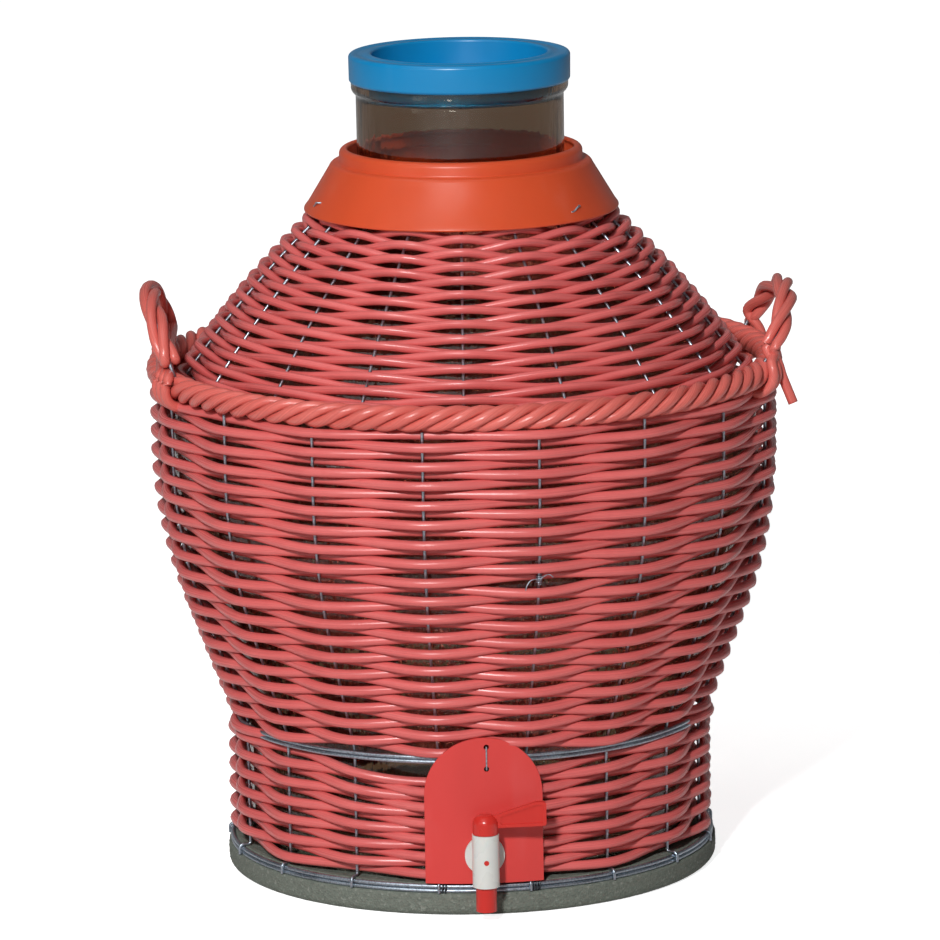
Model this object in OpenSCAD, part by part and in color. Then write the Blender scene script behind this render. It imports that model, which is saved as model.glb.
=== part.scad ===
// Wide-mouth glass carboy in a woven basket, with a press-on lid and a plug tap.
// Millimetres, +Z up. The origin is the middle of the base pad's underside, and
// the tap looks along -Y. Azimuths are counted from the tap towards +X.

/* [Base pad] */
// Outer diameter of the granulate pad
pad_d = 373; // [366:1:390]
// Height of the pad, on which the glass stands
pad_h = 24; // [20:1:32]
// Radius of the pad's lower edge
pad_round = 6; // [2:0.5:9]

/* [Basket frame] */
// Number of upright wires, odd so that one strand can weave over and under
stake_count = 17; // [13:2:21]
// Diameter of an upright wire
stake_d = 2.3; // [1.8:0.1:2.8]
// Diameter of the circle of upright wires at the foot
foot_d = 354.4; // [348:0.2:360]
// Diameter of the circle of upright wires at the belly
belly_d = 461.2; // [440:0.2:480]
// Height from the pad's top to the waist hoop
foot_h = 94; // [80:1:110]
// Height of the straight wall from the belly's curve to the middle of the border
wall_h = 56.3; // [48:0.1:90]
// Lean of the wires above the waist, in degrees
flare = 20.5; // [18:0.5:24]
// Radius of the curve that brings the wires upright again
flare_round = 350; // [250:10:380]
// Diameter of the ring wires at the foot
ring_wire_d = 3.2; // [2.6:0.1:3.6]
// How far the foot ring stands outside the upright wires
ring_step = 5.8; // [5:0.1:7]
// Diameter of the waist and collar hoop wires
hoop_wire_d = 3; // [2.4:0.1:3.6]

/* [Weave] */
// Diameter of the woven strand
strand_d = 7.2; // [6.4:0.1:7.4]
// Height of one row at the foot
foot_pitch = 7.6; // [7.2:0.1:9]
// Height of one row along the belly
belly_pitch = 7.2; // [6.6:0.1:8]
// Height of one row along the shoulder
shoulder_pitch = 6.3; // [6:0.1:7]
// Clearance between a strand and a wire
wire_gap = 0.2; // [0.1:0.05:0.3]
// Clearance between two rows
row_gap = 0.3; // [0.2:0.05:0.5]

/* [Shoulder] */
// Height from the middle of the border to the collar's lower edge
shoulder_h = 118; // [112:1:122]
// Lean of the shoulder wires at the border, in degrees
shoulder_lean = 32.8; // [31:0.2:34]
// Radius of the shoulder's curve
shoulder_curve = 640; // [600:10:700]
// Azimuth of the first shoulder wire, in degrees
shoulder_turn = -3; // [-5:0.5:5]

/* [Border and handles] */
// Diameter of the wire inside the border
border_wire_d = 3; // [2:0.1:3.2]
// Diameter of a strand in the border and the handles
rope_strand_d = 7.6; // [7:0.1:8]
// Full twists of the border rope
border_twists = 20; // [16:1:24]
// Strands in the border rope
border_strands = 4; // [3:1:5]
// Distance between the feet of a handle
handle_span = 158; // [140:1:180]
// Height of a handle's arc above its feet
handle_h = 41; // [34:1:50]
// How far a handle leans out from its feet to its top
handle_lean = 21; // [10:1:26]
// Diameter of the wire inside a handle
handle_wire_d = 2.8; // [2:0.1:3.2]
// Full twists of a handle rope
handle_twists = 3; // [2:1:4]
// Strands in a handle rope
handle_strands = 3; // [2:1:4]

/* [Collar] */
// Height of the collar's sloping skirt
collar_skirt_h = 36.5; // [32:0.5:40]
// Height of the ring above the skirt
collar_ring_h = 10.5; // [8:0.5:14]
// Outer diameter of the top ring
collar_ring_d = 186; // [180:1:190]
// Diameter of the collar's opening
collar_mouth_d = 168; // [164:1:172]
// Wall of the collar
collar_wall = 2.4; // [1.8:0.1:3]
// Wire ties that hold the collar
tie_count = 3; // [2:1:6]
// Diameter of the tie wire
tie_wire_d = 1.2; // [0.8:0.1:1.4]

/* [Glass] */
// Thickness of the glass
glass_wall = 5; // [4:0.5:6]
// Clearance between the glass and the woven basket
basket_gap = 0.4; // [0.4:0.1:2.5]
// Radius of the glass at its foot
heel_round = 11; // [9:0.5:12]
// Radius between belly and shoulder
glass_shoulder_round = 60; // [40:1:80]
// Radius between shoulder and neck
neck_round = 24; // [16:1:30]
// Outer diameter of the neck
neck_d = 156; // [152:0.5:159]
// Outer diameter of the thick lip
lip_d = 163; // [162:0.5:168]
// Height of the lip
lip_h = 27; // [22:0.5:32]
// Bore of the lip, which the lid plugs
mouth_d = 140; // [134:0.5:143]
// Neck left bare between collar and lip
neck_bare_h = 40; // [34:1:50]

/* [Lid] */
// Wall of the lid
lid_wall = 1.5; // [1.2:0.1:2.2]
// Thickness of the lid over the glass lip
lid_top = 3.8; // [3:0.1:6]
// Height of the lid's outer skirt
lid_skirt_h = 21.5; // [16:0.5:26]
// Depth of the recess in the lid
lid_recess_h = 28; // [22:0.5:34]
// Thickness of the wall around the recess
lid_plug_wall = 3.6; // [2.5:0.1:5]
// Thickness of the recess floor
lid_floor = 2.2; // [1.6:0.1:3]
// Clearance between lid and glass
lid_gap = 0.4; // [0.3:0.05:0.6]

/* [Tap] */
// Height of the tap's inlet above the pad
tap_h = 23.7; // [22.5:0.1:34]
// Distance from the shield's face to the barrel's axis
tap_reach = 16.4; // [15:0.1:24]
// Diameter of the barrel
barrel_d = 20; // [19:0.1:23]
// Height of the barrel
barrel_h = 39.5; // [36:0.5:44]
// Diameter of the turning plug
plug_d = 15.7; // [14:0.1:16]
// Diameter of the spout, a little thinner than the plug
spout_d = 15.3; // [13:0.1:16]
// Bore of the spout
spout_bore = 10.4; // [8:0.1:11]
// Length of the spout under the barrel
spout_l = 18.7; // [14:0.1:18.9]
// Running clearance of the plug in the barrel, on the radius
plug_fit = 0.05; // [0.03:0.01:0.1]
// Diameter of the plug's round cap
cap_d = 18.9; // [17:0.1:22]
// Height of the plug's round cap
cap_h = 14.6; // [12:0.1:18]
// Reach of the lever from the plug's axis
lever_l = 45; // [36:0.5:52]
// Height of the lever's free end
lever_h = 18; // [14:0.5:22]
// Thickness of the lever
lever_t = 5; // [4:0.1:7]
// Width of the lever's raised rim
lever_rim = 2.3; // [1.5:0.1:3]
// Depth of the lever's panels
lever_panel = 0.9; // [0.5:0.1:1.4]
// Diameter of the flange against the shield
flange_d = 29.5; // [27:0.5:34]
// Thickness of the flange
flange_t = 3; // [2:0.1:4]
// Diameter of the stem behind the flange
stem_d = 22; // [20:0.5:22.5]
// Diameter of the threaded inlet
inlet_d = 16; // [14:0.5:17]
// Bore of the inlet
inlet_bore = 9.6; // [8:0.1:10]
// Thickness of a gasket
gasket_t = 2.6; // [2:0.1:3.5]
// Thickness of the nut
nut_t = 8; // [6:0.5:11]
// Nut size across its corners
nut_d = 23; // [21:0.5:24]
// Diameter of the index dot
dot_d = 3.7; // [3:0.1:5]

/* [Shield] */
// Width of the shield behind the tap
shield_w = 87.5; // [76:0.5:92]
// Height of the shield
shield_h = 110.5; // [100:0.5:118]
// Thickness of the shield
shield_t = 2; // [1.5:0.1:2.6]
// Diameter of the holes for the tie
shield_hole_d = 4; // [3:0.1:5]

/* [Hidden] */

fit = 0.2;                    // clearance of pieces that lie against each other
seat = 0.3;                   // clearance of soft or moving pieces on their seats
wire_fn = 40;                 // facets of a round wire
round_fn = 144;               // facets of large round pieces
strand_sides = 5;             // sides of a woven strand
rope_steps = 5;               // rings in one twist of a rope
weld_lap = 0.3;               // how far a straight wire runs into its bend
weld_skin = 0.03;             // how much thinner a straight wire is than its bend

// Heights from the floor to the waist
tap_z = pad_h + tap_h;
hoop_z = pad_h + foot_h;

// Strand and wires
stake_r = stake_d / 2;
strand_r = strand_d / 2;
side_flat = cos(180 / strand_sides);          // a strand's flat side, per unit of radius
side_tall = sin(360 / strand_sides);          // a strand's half height, per unit of radius
over = stake_r + wire_gap + strand_r * side_flat;
under = stake_r + wire_gap + strand_r;
weave_out = over + strand_r;                  // from a stake's axis to the weave's outside
weave_in = under + strand_r * side_flat;      // and to its inside
stake_step = 360 / stake_count;

// Meridian of the body wires, by its length s from the floor
foot_r = foot_d / 2;
belly_r = belly_d / 2;
bend_z = hoop_z + hoop_wire_d + 0.6;
curve_in = flare_round * (1 - cos(flare));
flare_l = (belly_r - foot_r - curve_in) / sin(flare);
curve_l = flare_round * flare * PI / 180;
flare_s = bend_z + flare_l;
curve_s = flare_s + curve_l;
curve_z = bend_z + flare_l * cos(flare) + flare_round * sin(flare);

// Heights from the belly's curve up
border_z = curve_z + wall_h;
collar_z = border_z + shoulder_h;
collar_top = collar_z + collar_skirt_h + collar_ring_h;
lip_z = collar_top + neck_bare_h;
mouth_z = lip_z + lip_h;

function flare_point(s) = [foot_r + (s - bend_z) * sin(flare), bend_z + (s - bend_z) * cos(flare)];
function curve_point(a) = [belly_r, curve_z] - flare_round * [1 - cos(a), sin(a)];
function body_lean(s) = s < bend_z ? 0 : s < flare_s ? flare : s < curve_s ? (curve_s - s) / curve_l * flare : 0;
function body_point(s) =
    s < bend_z ? [foot_r, s] :
    s < flare_s ? flare_point(s) :
    s < curve_s ? curve_point(body_lean(s)) : [belly_r, curve_z + s - curve_s];

// Meridian of the shoulder wires, by its length s from the border
rope_r = rope_strand_d / 2;
rope_near = rope_r * (1 + side_flat) / 2 + seat;      // nearest a rope's strand comes to its wire
// Radius of the path of a rope's strands, which clear both the wire and each other
function rope_coil(wire_d, strands) =
    max(wire_d / 2 + rope_near, (rope_r + row_gap / 2) / sin(180 / strands)) / cos(180 / rope_steps);
border_coil = rope_coil(border_wire_d, border_strands);
handle_coil = rope_coil(handle_wire_d, handle_strands) + fit;
border_out = border_coil + rope_r * side_flat;
shoulder_start = [belly_r - border_out - weave_out - 1.5, border_z - 4];
shoulder_hub = shoulder_start - shoulder_curve * [cos(shoulder_lean), sin(shoulder_lean)];
function shoulder_angle(s) = shoulder_lean + s / shoulder_curve * 180 / PI;
function shoulder_point(s) =
    shoulder_hub + shoulder_curve * [cos(shoulder_angle(s)), sin(shoulder_angle(s))];
function shoulder_length(z) =
    (asin((z - shoulder_hub[1]) / shoulder_curve) - shoulder_lean) * PI / 180 * shoulder_curve;

// Rows
foot_start = pad_h + 2 * stake_r + strand_r + 2 * fit;
foot_end = hoop_z - hoop_wire_d - strand_r - tie_wire_d - 2 * fit;
belly_start = bend_z + strand_r + tie_wire_d + fit;
belly_end = curve_s + border_z - curve_z - border_out - strand_r - seat;
shoulder_begin = 4.2;
shoulder_end = shoulder_length(collar_z - strand_r - over * sin(shoulder_angle(shoulder_length(collar_z))) - seat);

// Foot ring and its seat in the pad
ring_r = foot_r + ring_step;
ring_low = pad_h - 2 * ring_wire_d - fit;
hook_z = pad_h + fit + stake_r;
seat_r = ring_r - ring_wire_d / 2 - seat;
hoop_r = foot_r + stake_r + hoop_wire_d / 2 + fit;

// Glass
glass_inset = weave_in + basket_gap;
glass_r = foot_r - glass_inset;
// A strand that goes straight from inside one stake to outside the next first nears the glass
dip_slope = atan2(belly_r - weave_in - (belly_r + over - strand_r * side_flat) * cos(stake_step),
                  (belly_r + over - strand_r * side_flat) * sin(stake_step));
belly_dip = (belly_r - weave_in) * (1 - cos(max(0, dip_slope)));
neck_r = neck_d / 2;
lip_r = lip_d / 2;
mouth_r = mouth_d / 2;

// Lid
lid_r = lip_r + lid_gap + lid_wall;
lid_z = mouth_z + lid_gap + lid_top;
plug_out = mouth_r - lid_gap;

// Tap, along -Y from the glass outwards
shield_r = foot_r + weave_out + 0.5;
shield_face = shield_r + shield_t;
flange_back = shield_face + fit;
tap_y = max(shield_face + tap_reach, pad_d / 2 + max(plug_d, spout_d) / 2 + seat);
barrel_low = tap_z - barrel_h / 2;
barrel_top = tap_z + barrel_h / 2;
bore_r = plug_d / 2 + plug_fit;
inlet_r = inlet_d / 2;
gasket_back = glass_r + fit;
gasket_in = sqrt(pow(glass_r - glass_wall, 2) - pow(nut_d / 2, 2)) - fit;
inlet_end = gasket_in - gasket_t - fit - nut_t - 1.5;

// ---- helpers ----

// A point of the meridian plane, given as [radius, height], at an azimuth
function place(p, az) = [p[0] * sin(az), -p[0] * cos(az), p[1]];
function between(a, b, t) = a + (b - a) * t;
function arc(c, r, a0, a1, n) = [for (i = [0:n]) c + r * [cos(a0 + (a1 - a0) * i / n), sin(a0 + (a1 - a0) * i / n)]];
function unit(v) = v / norm(v);
function flip(list) = [for (i = [len(list) - 1:-1:0]) list[i]];

// The corner that two edges share once both have moved inwards by w, on a convex outline
function edge_normal(p, i) =
    let (d = unit(p[(i + 1) % len(p)] - p[i])) [d[1], -d[0]];
function inner_corner(p, i, w) =
    let (m = edge_normal(p, (i + len(p) - 1) % len(p)), n = edge_normal(p, i))
    p[i] - (m + n) * w / (1 + m * n);
function inset(p, w) = [for (i = [0:len(p) - 1]) inner_corner(p, i, w)];
// The same outline with each corner rounded to radius r
function rounded(p, r, n = 6) = [for (i = [0:len(p) - 1])
    let (m = edge_normal(p, (i + len(p) - 1) % len(p)), e = edge_normal(p, i), turn = acos(min(1, m * e)))
    each arc(inner_corner(p, i, r), r, atan2(m[1], m[0]), atan2(m[1], m[0]) + turn, n)];

// A tube through rings of points; closed joins the last ring to the first
module tube(rings, closed = false) {
    n = len(rings[0]);
    m = len(rings);
    last = closed ? m - 1 : m - 2;
    sides = [for (i = [0:last], j = [0:n - 1])
        [i * n + j, ((i + 1) % m) * n + j, ((i + 1) % m) * n + (j + 1) % n, i * n + (j + 1) % n]];
    ends = closed ? [] : [[for (j = [0:n - 1]) j], [for (j = [n - 1:-1:0]) (m - 1) * n + j]];
    polyhedron([for (ring = rings) each ring], concat(sides, ends), convexity = 10);
}

module ring_wire(r, z, d) {
    translate([0, 0, z])
        rotate_extrude($fn = round_fn) translate([r, 0]) circle(d = d, $fn = wire_fn);
}

// Straight and curved wire in the meridian plane of the tap, from point a to point b
module rod(a, b, d) {
    translate(place(a, 0)) rotate([atan2(b[0] - a[0], b[1] - a[1]), 0, 0])
        cylinder(h = norm(b - a), d = d - 2 * weld_skin, $fn = wire_fn);
}
module bend(c, r, a0, a1, d) {
    translate(place(c, 0)) rotate([90, 0, -90]) rotate([0, 0, a0])
        rotate_extrude(angle = a1 - a0, $fn = 360) translate([r, 0]) circle(d = d, $fn = wire_fn);
}
// A bent wire through the corners of a path; each bend has radius r
function bend_length(p, i, r) =
    let (a = unit(p[i] - p[i - 1]), b = unit(p[i + 1] - p[i])) r * tan(acos(a * b) / 2);
module wire(p, r, d) {
    last = len(p) - 1;
    for (i = [0:last - 1]) {
        dir = unit(p[i + 1] - p[i]);
        start = i == 0 ? p[0] : p[i] + dir * (bend_length(p, i, r[i]) - weld_lap);
        stop = i == last - 1 ? p[last] : p[i + 1] - dir * (bend_length(p, i + 1, r[i + 1]) - weld_lap);
        rod(start, stop, d);
    }
    for (i = [1:last - 1]) {
        dir = unit(p[i] - p[i - 1]);
        next = unit(p[i + 1] - p[i]);
        turn = acos(dir * next);
        left = dir[0] * next[1] - dir[1] * next[0] > 0;
        side = left ? [-dir[1], dir[0]] : [dir[1], -dir[0]];
        hub = p[i] - dir * bend_length(p, i, r[i]) + side * r[i];
        from = atan2(-side[1], -side[0]);
        bend(hub, r[i], left ? from : from - turn, left ? from + turn : from, d);
    }
}

// ---- weave ----

// Ring of a strand on a meridian point p whose outward direction leans down by `lean`
function strand_ring(p, lean, off, az, tall) = [for (j = [0:strand_sides - 1])
    let (a = 360 * j / strand_sides, out = off + strand_r * cos(a), up = tall * sin(a))
    place(p + out * [cos(lean), -sin(lean)] + up * [sin(lean), cos(lean)], az)];
function strand_tall(pitch) = min(strand_r, (pitch - row_gap) / 2 / side_tall);
// The strand passes outside one stake and inside the next; n counts the stakes
function strand_off(n) = n % 2 == 0 ? over : -under;
function body_ring(n, start, pitch) =
    let (s = start + pitch * n / stake_count)
    strand_ring(body_point(s), body_lean(s), strand_off(n), (n - 0.5) * stake_step, strand_tall(pitch));
function shoulder_ring(n) =
    let (s = shoulder_begin + shoulder_pitch * n / stake_count)
    strand_ring(shoulder_point(s), -shoulder_angle(s), strand_off(n),
                shoulder_turn + n * stake_step, strand_tall(shoulder_pitch));
function row_stakes(start, end, pitch) = floor((end - start) / pitch * stake_count);

// A strand's end, part of the way t to the next stake
function part_ring(a, b, t) = [for (j = [0:len(a) - 1]) between(a[j], b[j], t)];
// Rows of the foot that meet the tap stop beside it; each cut is a turn's number
end_reach = 0.2;
cut_half = stem_d / 2 + strand_r + 0.8;
foot_stakes = row_stakes(foot_start, foot_end, foot_pitch);
cuts = [for (turn = [0:floor(foot_stakes / stake_count)])
    if (abs(foot_start + foot_pitch * (turn + 0.5 / stake_count) - tap_z) < cut_half) turn];
function foot_ring(n) = body_ring(n, foot_start, foot_pitch);
module foot_strand(first, last, open_start, open_end) {
    head = open_start ? [part_ring(foot_ring(first), foot_ring(first - 1), end_reach)] : [];
    tail = open_end ? [part_ring(foot_ring(last), foot_ring(last + 1), end_reach)] : [];
    tube(concat(head, [for (n = [first:last]) foot_ring(n)], tail));
}

// ---- ropes ----

// Ring of a rope's strand: o is the rope's middle, u and v span its section, a is the strand's
// place round it. The section turns by one side from ring to ring, so that its sides run straight
function rope_ring(o, u, v, coil, a, first) = [for (j = [0:strand_sides - 1])
    let (b = first + 180 + 360 * j / strand_sides)
    o + coil * (cos(a) * u + sin(a) * v) + rope_r * (cos(b) * u + sin(b) * v)];
// How far the border's rope reaches from its wire in a direction of its section
function border_reach(az, dir) = rope_r + border_coil
    * max([for (k = [0:border_strands - 1]) cos(360 * k / border_strands + border_twists * az - dir)]);
// Middle line of a handle, t from 0 to 180 degrees; both feet stand square on the border
handle_tilt = atan(handle_lean / handle_h);
foot_az = asin(handle_span / 2 / belly_r);
foot_half = 2;
foot_seat = 0.75;             // height of a handle's feet over the reach of the border's strands
function handle_seat(side) = foot_seat + max([for (foot = [-foot_az, foot_az], az = [-foot_half:foot_half])
    border_reach(side + foot + az, 90 - handle_tilt)]);
function handle_point(t, side) =
    [belly_r * cos(foot_az), 0, border_z] + handle_seat(side) * [sin(handle_tilt), 0, cos(handle_tilt)]
    + [handle_lean * sin(t), -handle_span / 2 * cos(t), handle_h * sin(t)];
function handle_dir(t) =
    unit([handle_lean * cos(t), handle_span / 2 * sin(t), handle_h * cos(t)]);
function handle_u(t) = unit(cross(handle_dir(t), [handle_h, 0, -handle_lean]));
function handle_v(t) = cross(handle_dir(t), handle_u(t));
handle_rings = handle_twists * rope_steps;
core_rings = 20;
core_sides = 6;

// ---- glass ----

waist_round = 50;             // hollow curve between foot and flare

// Profile of the glass, moved inwards by w: base, heel, foot, flare, belly, shoulder and neck
function glass_profile(w) =
    let (in = glass_inset + w,
         foot = foot_r - in,
         belly = belly_r - in - belly_dip,
         heel = heel_round - w / 2,
         corner_z = bend_z + in * tan(flare / 2),
         cut = waist_round - w,
         cut_l = cut * tan(flare / 2),
         round = glass_shoulder_round - w,
         big = shoulder_curve - in,
         hub = shoulder_hub,
         round_r = belly - round,
         round_z = hub[1] + sqrt(pow(big - round, 2) - pow(round_r - hub[0], 2)),
         round_a = atan2(round_z - hub[1], round_r - hub[0]),
         neck = neck_r - w,
         soft = neck_round + w,
         soft_z = hub[1] + sqrt(pow(big + soft, 2) - pow(neck + soft - hub[0], 2)),
         soft_a = atan2(soft_z - hub[1], neck + soft - hub[0]))
    concat(
        [[0, pad_h + w]],
        arc([foot - heel, pad_h + w + heel], heel, -90, 0, 6),
        arc([foot + cut, corner_z - cut_l], cut, 180, 180 - flare, 4),
        arc([belly - flare_round + in, curve_z], flare_round - in, -flare, 0, 8),
        arc([round_r, round_z], round, 0, round_a, 8),
        arc(hub, big, round_a + 2, soft_a - 1, 6),
        arc([neck + soft, soft_z], soft, 180 + soft_a, 180, 6));
lip_round = 6;
rim = 2.5;                    // rounding of the mouth's edges
module glass_section() {
    lip = concat(
        arc([lip_r - lip_round, lip_z + lip_round], lip_round, -60, 0, 5),
        arc([lip_r - rim, mouth_z - rim], rim, 0, 90, 4),
        arc([mouth_r + rim, mouth_z - rim], rim, 90, 180, 4),
        [[mouth_r, lip_z + 4], [neck_r - glass_wall, lip_z - 4]]);
    polygon(concat(glass_profile(0), [[neck_r, lip_z + lip_round - lip_round * sin(60) - 1]],
                   lip, flip(glass_profile(glass_wall))));
}

// ---- pieces ----

module base_pad() color("#7a8078") difference() {
    rotate_extrude($fn = round_fn)
        polygon(concat([[0, 0]], arc([pad_d / 2 - pad_round, pad_round], pad_round, -90, 0, 6),
                       [[pad_d / 2, ring_low - fit], [seat_r, ring_low - fit], [seat_r, pad_h], [0, pad_h]]));
}

module base_ring() color("#b4bcc0") {
    for (i = [0, 1])
        ring_wire(ring_r, ring_low + ring_wire_d / 2 + i * (ring_wire_d + fit), ring_wire_d);
}

// Each upright wire hooks over the foot ring, leans out above the waist and ends under the border
foot_hook_r = ring_r + ring_wire_d / 2 + stake_r + fit;
module body_stakes() color("#c2cacd") {
    top = [belly_r, border_z - border_out - fit];
    hook_r = foot_hook_r - ring_r;
    path = [[foot_hook_r, ring_low + 0.5], [foot_hook_r, hook_z], [foot_r, hook_z],
            [foot_r, bend_z], flare_point(flare_s)];
    for (i = [0:stake_count - 1])
        rotate([0, 0, (i - 0.5) * stake_step]) {
            wire(path, [0, hook_r, 2.2, 20, 0], stake_d);
            bend([belly_r - flare_round, curve_z], flare_round, -flare, 0, stake_d);
            rod([belly_r, curve_z - weld_lap], top, stake_d);
        }
}

// Each shoulder wire hooks under the border's inner side and ends at the collar hoop
shoulder_top_s = shoulder_end + 23;
hook_lead = 3;                 // straight part between a shoulder wire's arc and its hook
hook_round = 2;                // radius of the hook's bend
module shoulder_stakes() color("#c2cacd") {
    lean = shoulder_angle(0);
    along = [-sin(lean), cos(lean)];
    hook = shoulder_point(0) - hook_lead * along;
    toe_dir = unit([belly_r, border_z] - hook - [0, 8]);
    gap = norm([belly_r, border_z] - hook) - border_out - stake_r;
    toe = hook + toe_dir * (gap - seat);
    for (i = [0:stake_count - 1])
        rotate([0, 0, shoulder_turn + i * stake_step]) {
            bend(shoulder_hub, shoulder_curve, lean, shoulder_angle(shoulder_top_s), stake_d);
            wire([toe, hook, shoulder_point(0) + weld_lap * along], [0, hook_round, 0], stake_d);
        }
}

module waist_hoop() color("#b4bcc0") {
    for (i = [0, 1])
        ring_wire(hoop_r, hoop_z + (i - 0.5) * (hoop_wire_d + fit), hoop_wire_d);
}

module border_hoop() color("#b4bcc0") ring_wire(belly_r, border_z, border_wire_d);

collar_hoop_p = shoulder_point(shoulder_top_s - 2)
    + (stake_r + hoop_wire_d / 2 + fit) * [cos(shoulder_angle(shoulder_top_s)), sin(shoulder_angle(shoulder_top_s))];
module collar_hoop() color("#b4bcc0") ring_wire(collar_hoop_p[0], collar_hoop_p[1], hoop_wire_d);

module weave_foot() color("#cf5a52") {
    stops = concat([-1], cuts, [-2]);
    for (i = [0:len(stops) - 2]) {
        open_start = stops[i] >= 0;
        open_end = stops[i + 1] >= 0;
        first = open_start ? stops[i] * stake_count + 1 : 0;
        last = open_end ? stops[i + 1] * stake_count : foot_stakes;
        foot_strand(first, last, open_start, open_end);
    }
}

module weave_belly() color("#cf5a52")
    tube([for (n = [0:row_stakes(belly_start, belly_end, belly_pitch)]) body_ring(n, belly_start, belly_pitch)]);

module weave_shoulder() color("#cf5a52")
    tube([for (n = [0:row_stakes(shoulder_begin, shoulder_end, shoulder_pitch)]) shoulder_ring(n)]);

module border_braid() color("#c9524c") {
    rings = border_twists * rope_steps;
    for (k = [0:border_strands - 1])
        tube([for (i = [0:rings - 1])
            let (az = 360 * i / rings, first = 360 * k / border_strands)
            rope_ring(place([belly_r, border_z], az), place([1, 0], az), [0, 0, 1],
                      border_coil, first + 360 * i / rope_steps, first)], closed = true);
}

module handle_core(side) color("#b4bcc0")
    tube([for (i = [0:core_rings]) let (t = 180 * i / core_rings)
        [for (a = [0:360 / core_sides:359]) handle_point(t, side)
            + handle_wire_d / 2 * (cos(a) * handle_u(t) + sin(a) * handle_v(t))]]);
module handle_rope(side) color("#c9524c")
    for (k = [0:handle_strands - 1])
        tube([for (i = [0:handle_rings])
            let (t = 180 * i / handle_rings, first = 360 * k / handle_strands)
            rope_ring(handle_point(t, side), handle_u(t), handle_v(t),
                      handle_coil, first + 360 * i / rope_steps, first)]);
module handle_core_right() handle_core(90);
module handle_right() handle_rope(90);
module handle_core_left() rotate([0, 0, 180]) handle_core(270);
module handle_left() rotate([0, 0, 180]) handle_rope(270);

// Three wraps of thin wire on the front of one upright, in a gap between two outer rows
splice_turn = 20;
module stake_splice() color("#d8dcdc") {
    n = splice_turn * stake_count + 1;
    s = belly_start + belly_pitch * (n % 2 == 0 ? n + stake_count : n) / stake_count;
    wrap = stake_r + tie_wire_d / 2 + fit / 2;
    rotate([0, 0, stake_step / 2])
        translate(place(body_point(s), 0))
            rotate([body_lean(s), 0, 0])
                for (i = [-1:1])
                    translate([0, 0, i * (tie_wire_d + fit / 2)]) rotate([0, 0, 175])
                        rotate_extrude(angle = 190, $fn = 72)
                            translate([wrap, 0]) circle(d = tie_wire_d, $fn = wire_fn);
}

// Collar: flared lip, sloping skirt, rounded step and a short ring with an open mouth
lip_flare = 5;
collar_lip_r = shoulder_point(shoulder_end)[0] + over + 1.2;
skirt_r = collar_lip_r - lip_flare;
ring_low_r = collar_ring_d / 2;
step_r = ring_low_r + 7.5;
step_z = collar_z + collar_skirt_h;
function collar_line(w) = concat(
    [[collar_lip_r - w, collar_z], [skirt_r - w, collar_z + 6.5]],
    arc([step_r - 5, step_z - 5], 5 - w / 2, 20, 75, 5),
    [[ring_low_r + 0.6 - w, step_z - w * 0.9], [ring_low_r - 0.4 - w, step_z + 1 - w * 0.9]],
    arc([ring_low_r - 6, collar_top - 4], 4 - w / 2, 10, 80, 5),
    [[collar_mouth_d / 2, collar_top - w]]);
module shoulder_collar() color("#d8512f") difference() {
    rotate_extrude($fn = round_fn) polygon(concat(collar_line(0), flip(collar_line(collar_wall))));
    for (i = [0:tie_count - 1])
        rotate([0, 0, tie_turn + 360 * i / tie_count])
            for (dz = [-tie_half, tie_half])
                translate(place([collar_hoop_p[0], collar_hoop_p[1] + dz], 0)) rotate([90, 0, 0])
                    cylinder(h = 40, d = tie_wire_d + 1, $fn = wire_fn);
}

// Each tie goes out through the collar, down over its outside, back in and behind the hoop
tie_turn = -75;
tie_half = hoop_wire_d / 2 + tie_wire_d / 2 + fit;
function skirt_radius(z) =
    between(skirt_r, step_r - 5 + 5 * cos(20), (z - collar_z - 6.5) / (step_z - 5 + 5 * sin(20) - collar_z - 6.5));
module collar_ties() color("#d8dcdc") {
    p = collar_hoop_p;
    out = skirt_radius(p[1] - tie_half) + tie_wire_d / 2 + fit;
    back = p[0] - tie_half;
    for (i = [0:tie_count - 1])
        rotate([0, 0, tie_turn + 360 * i / tie_count])
            loop([[back, p[1] - tie_half], [out, p[1] - tie_half],
                  [out - (out - skirt_radius(p[1] + tie_half) - tie_wire_d / 2 - fit), p[1] + tie_half],
                  [back, p[1] + tie_half]], tie_wire_d);
}
// A closed loop of wire in the meridian plane through corners, mitred like a bent wire
module loop(p, d, sides = 8) {
    n = len(p);
    tube([for (i = [0:n - 1])
        let (a = unit(p[i] - p[(i + n - 1) % n]), b = unit(p[(i + 1) % n] - p[i]),
             m = unit([a[1] + b[1], -a[0] - b[0]]), k = 1 / (m * [a[1], -a[0]]))
        [for (j = [0:sides - 1])
            place(p[i] + d / 2 * cos(360 * j / sides) * k * m, 0) + [d / 2 * sin(360 * j / sides), 0, 0]]],
        closed = true);
}

module glass_vessel() color("#8fa39b") difference() {
    rotate_extrude($fn = round_fn) glass_section();
    translate([0, -glass_r / 2, tap_z]) rotate([90, 0, 0])
        cylinder(h = glass_r, r = inlet_r + seat, $fn = 48);
}

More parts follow.
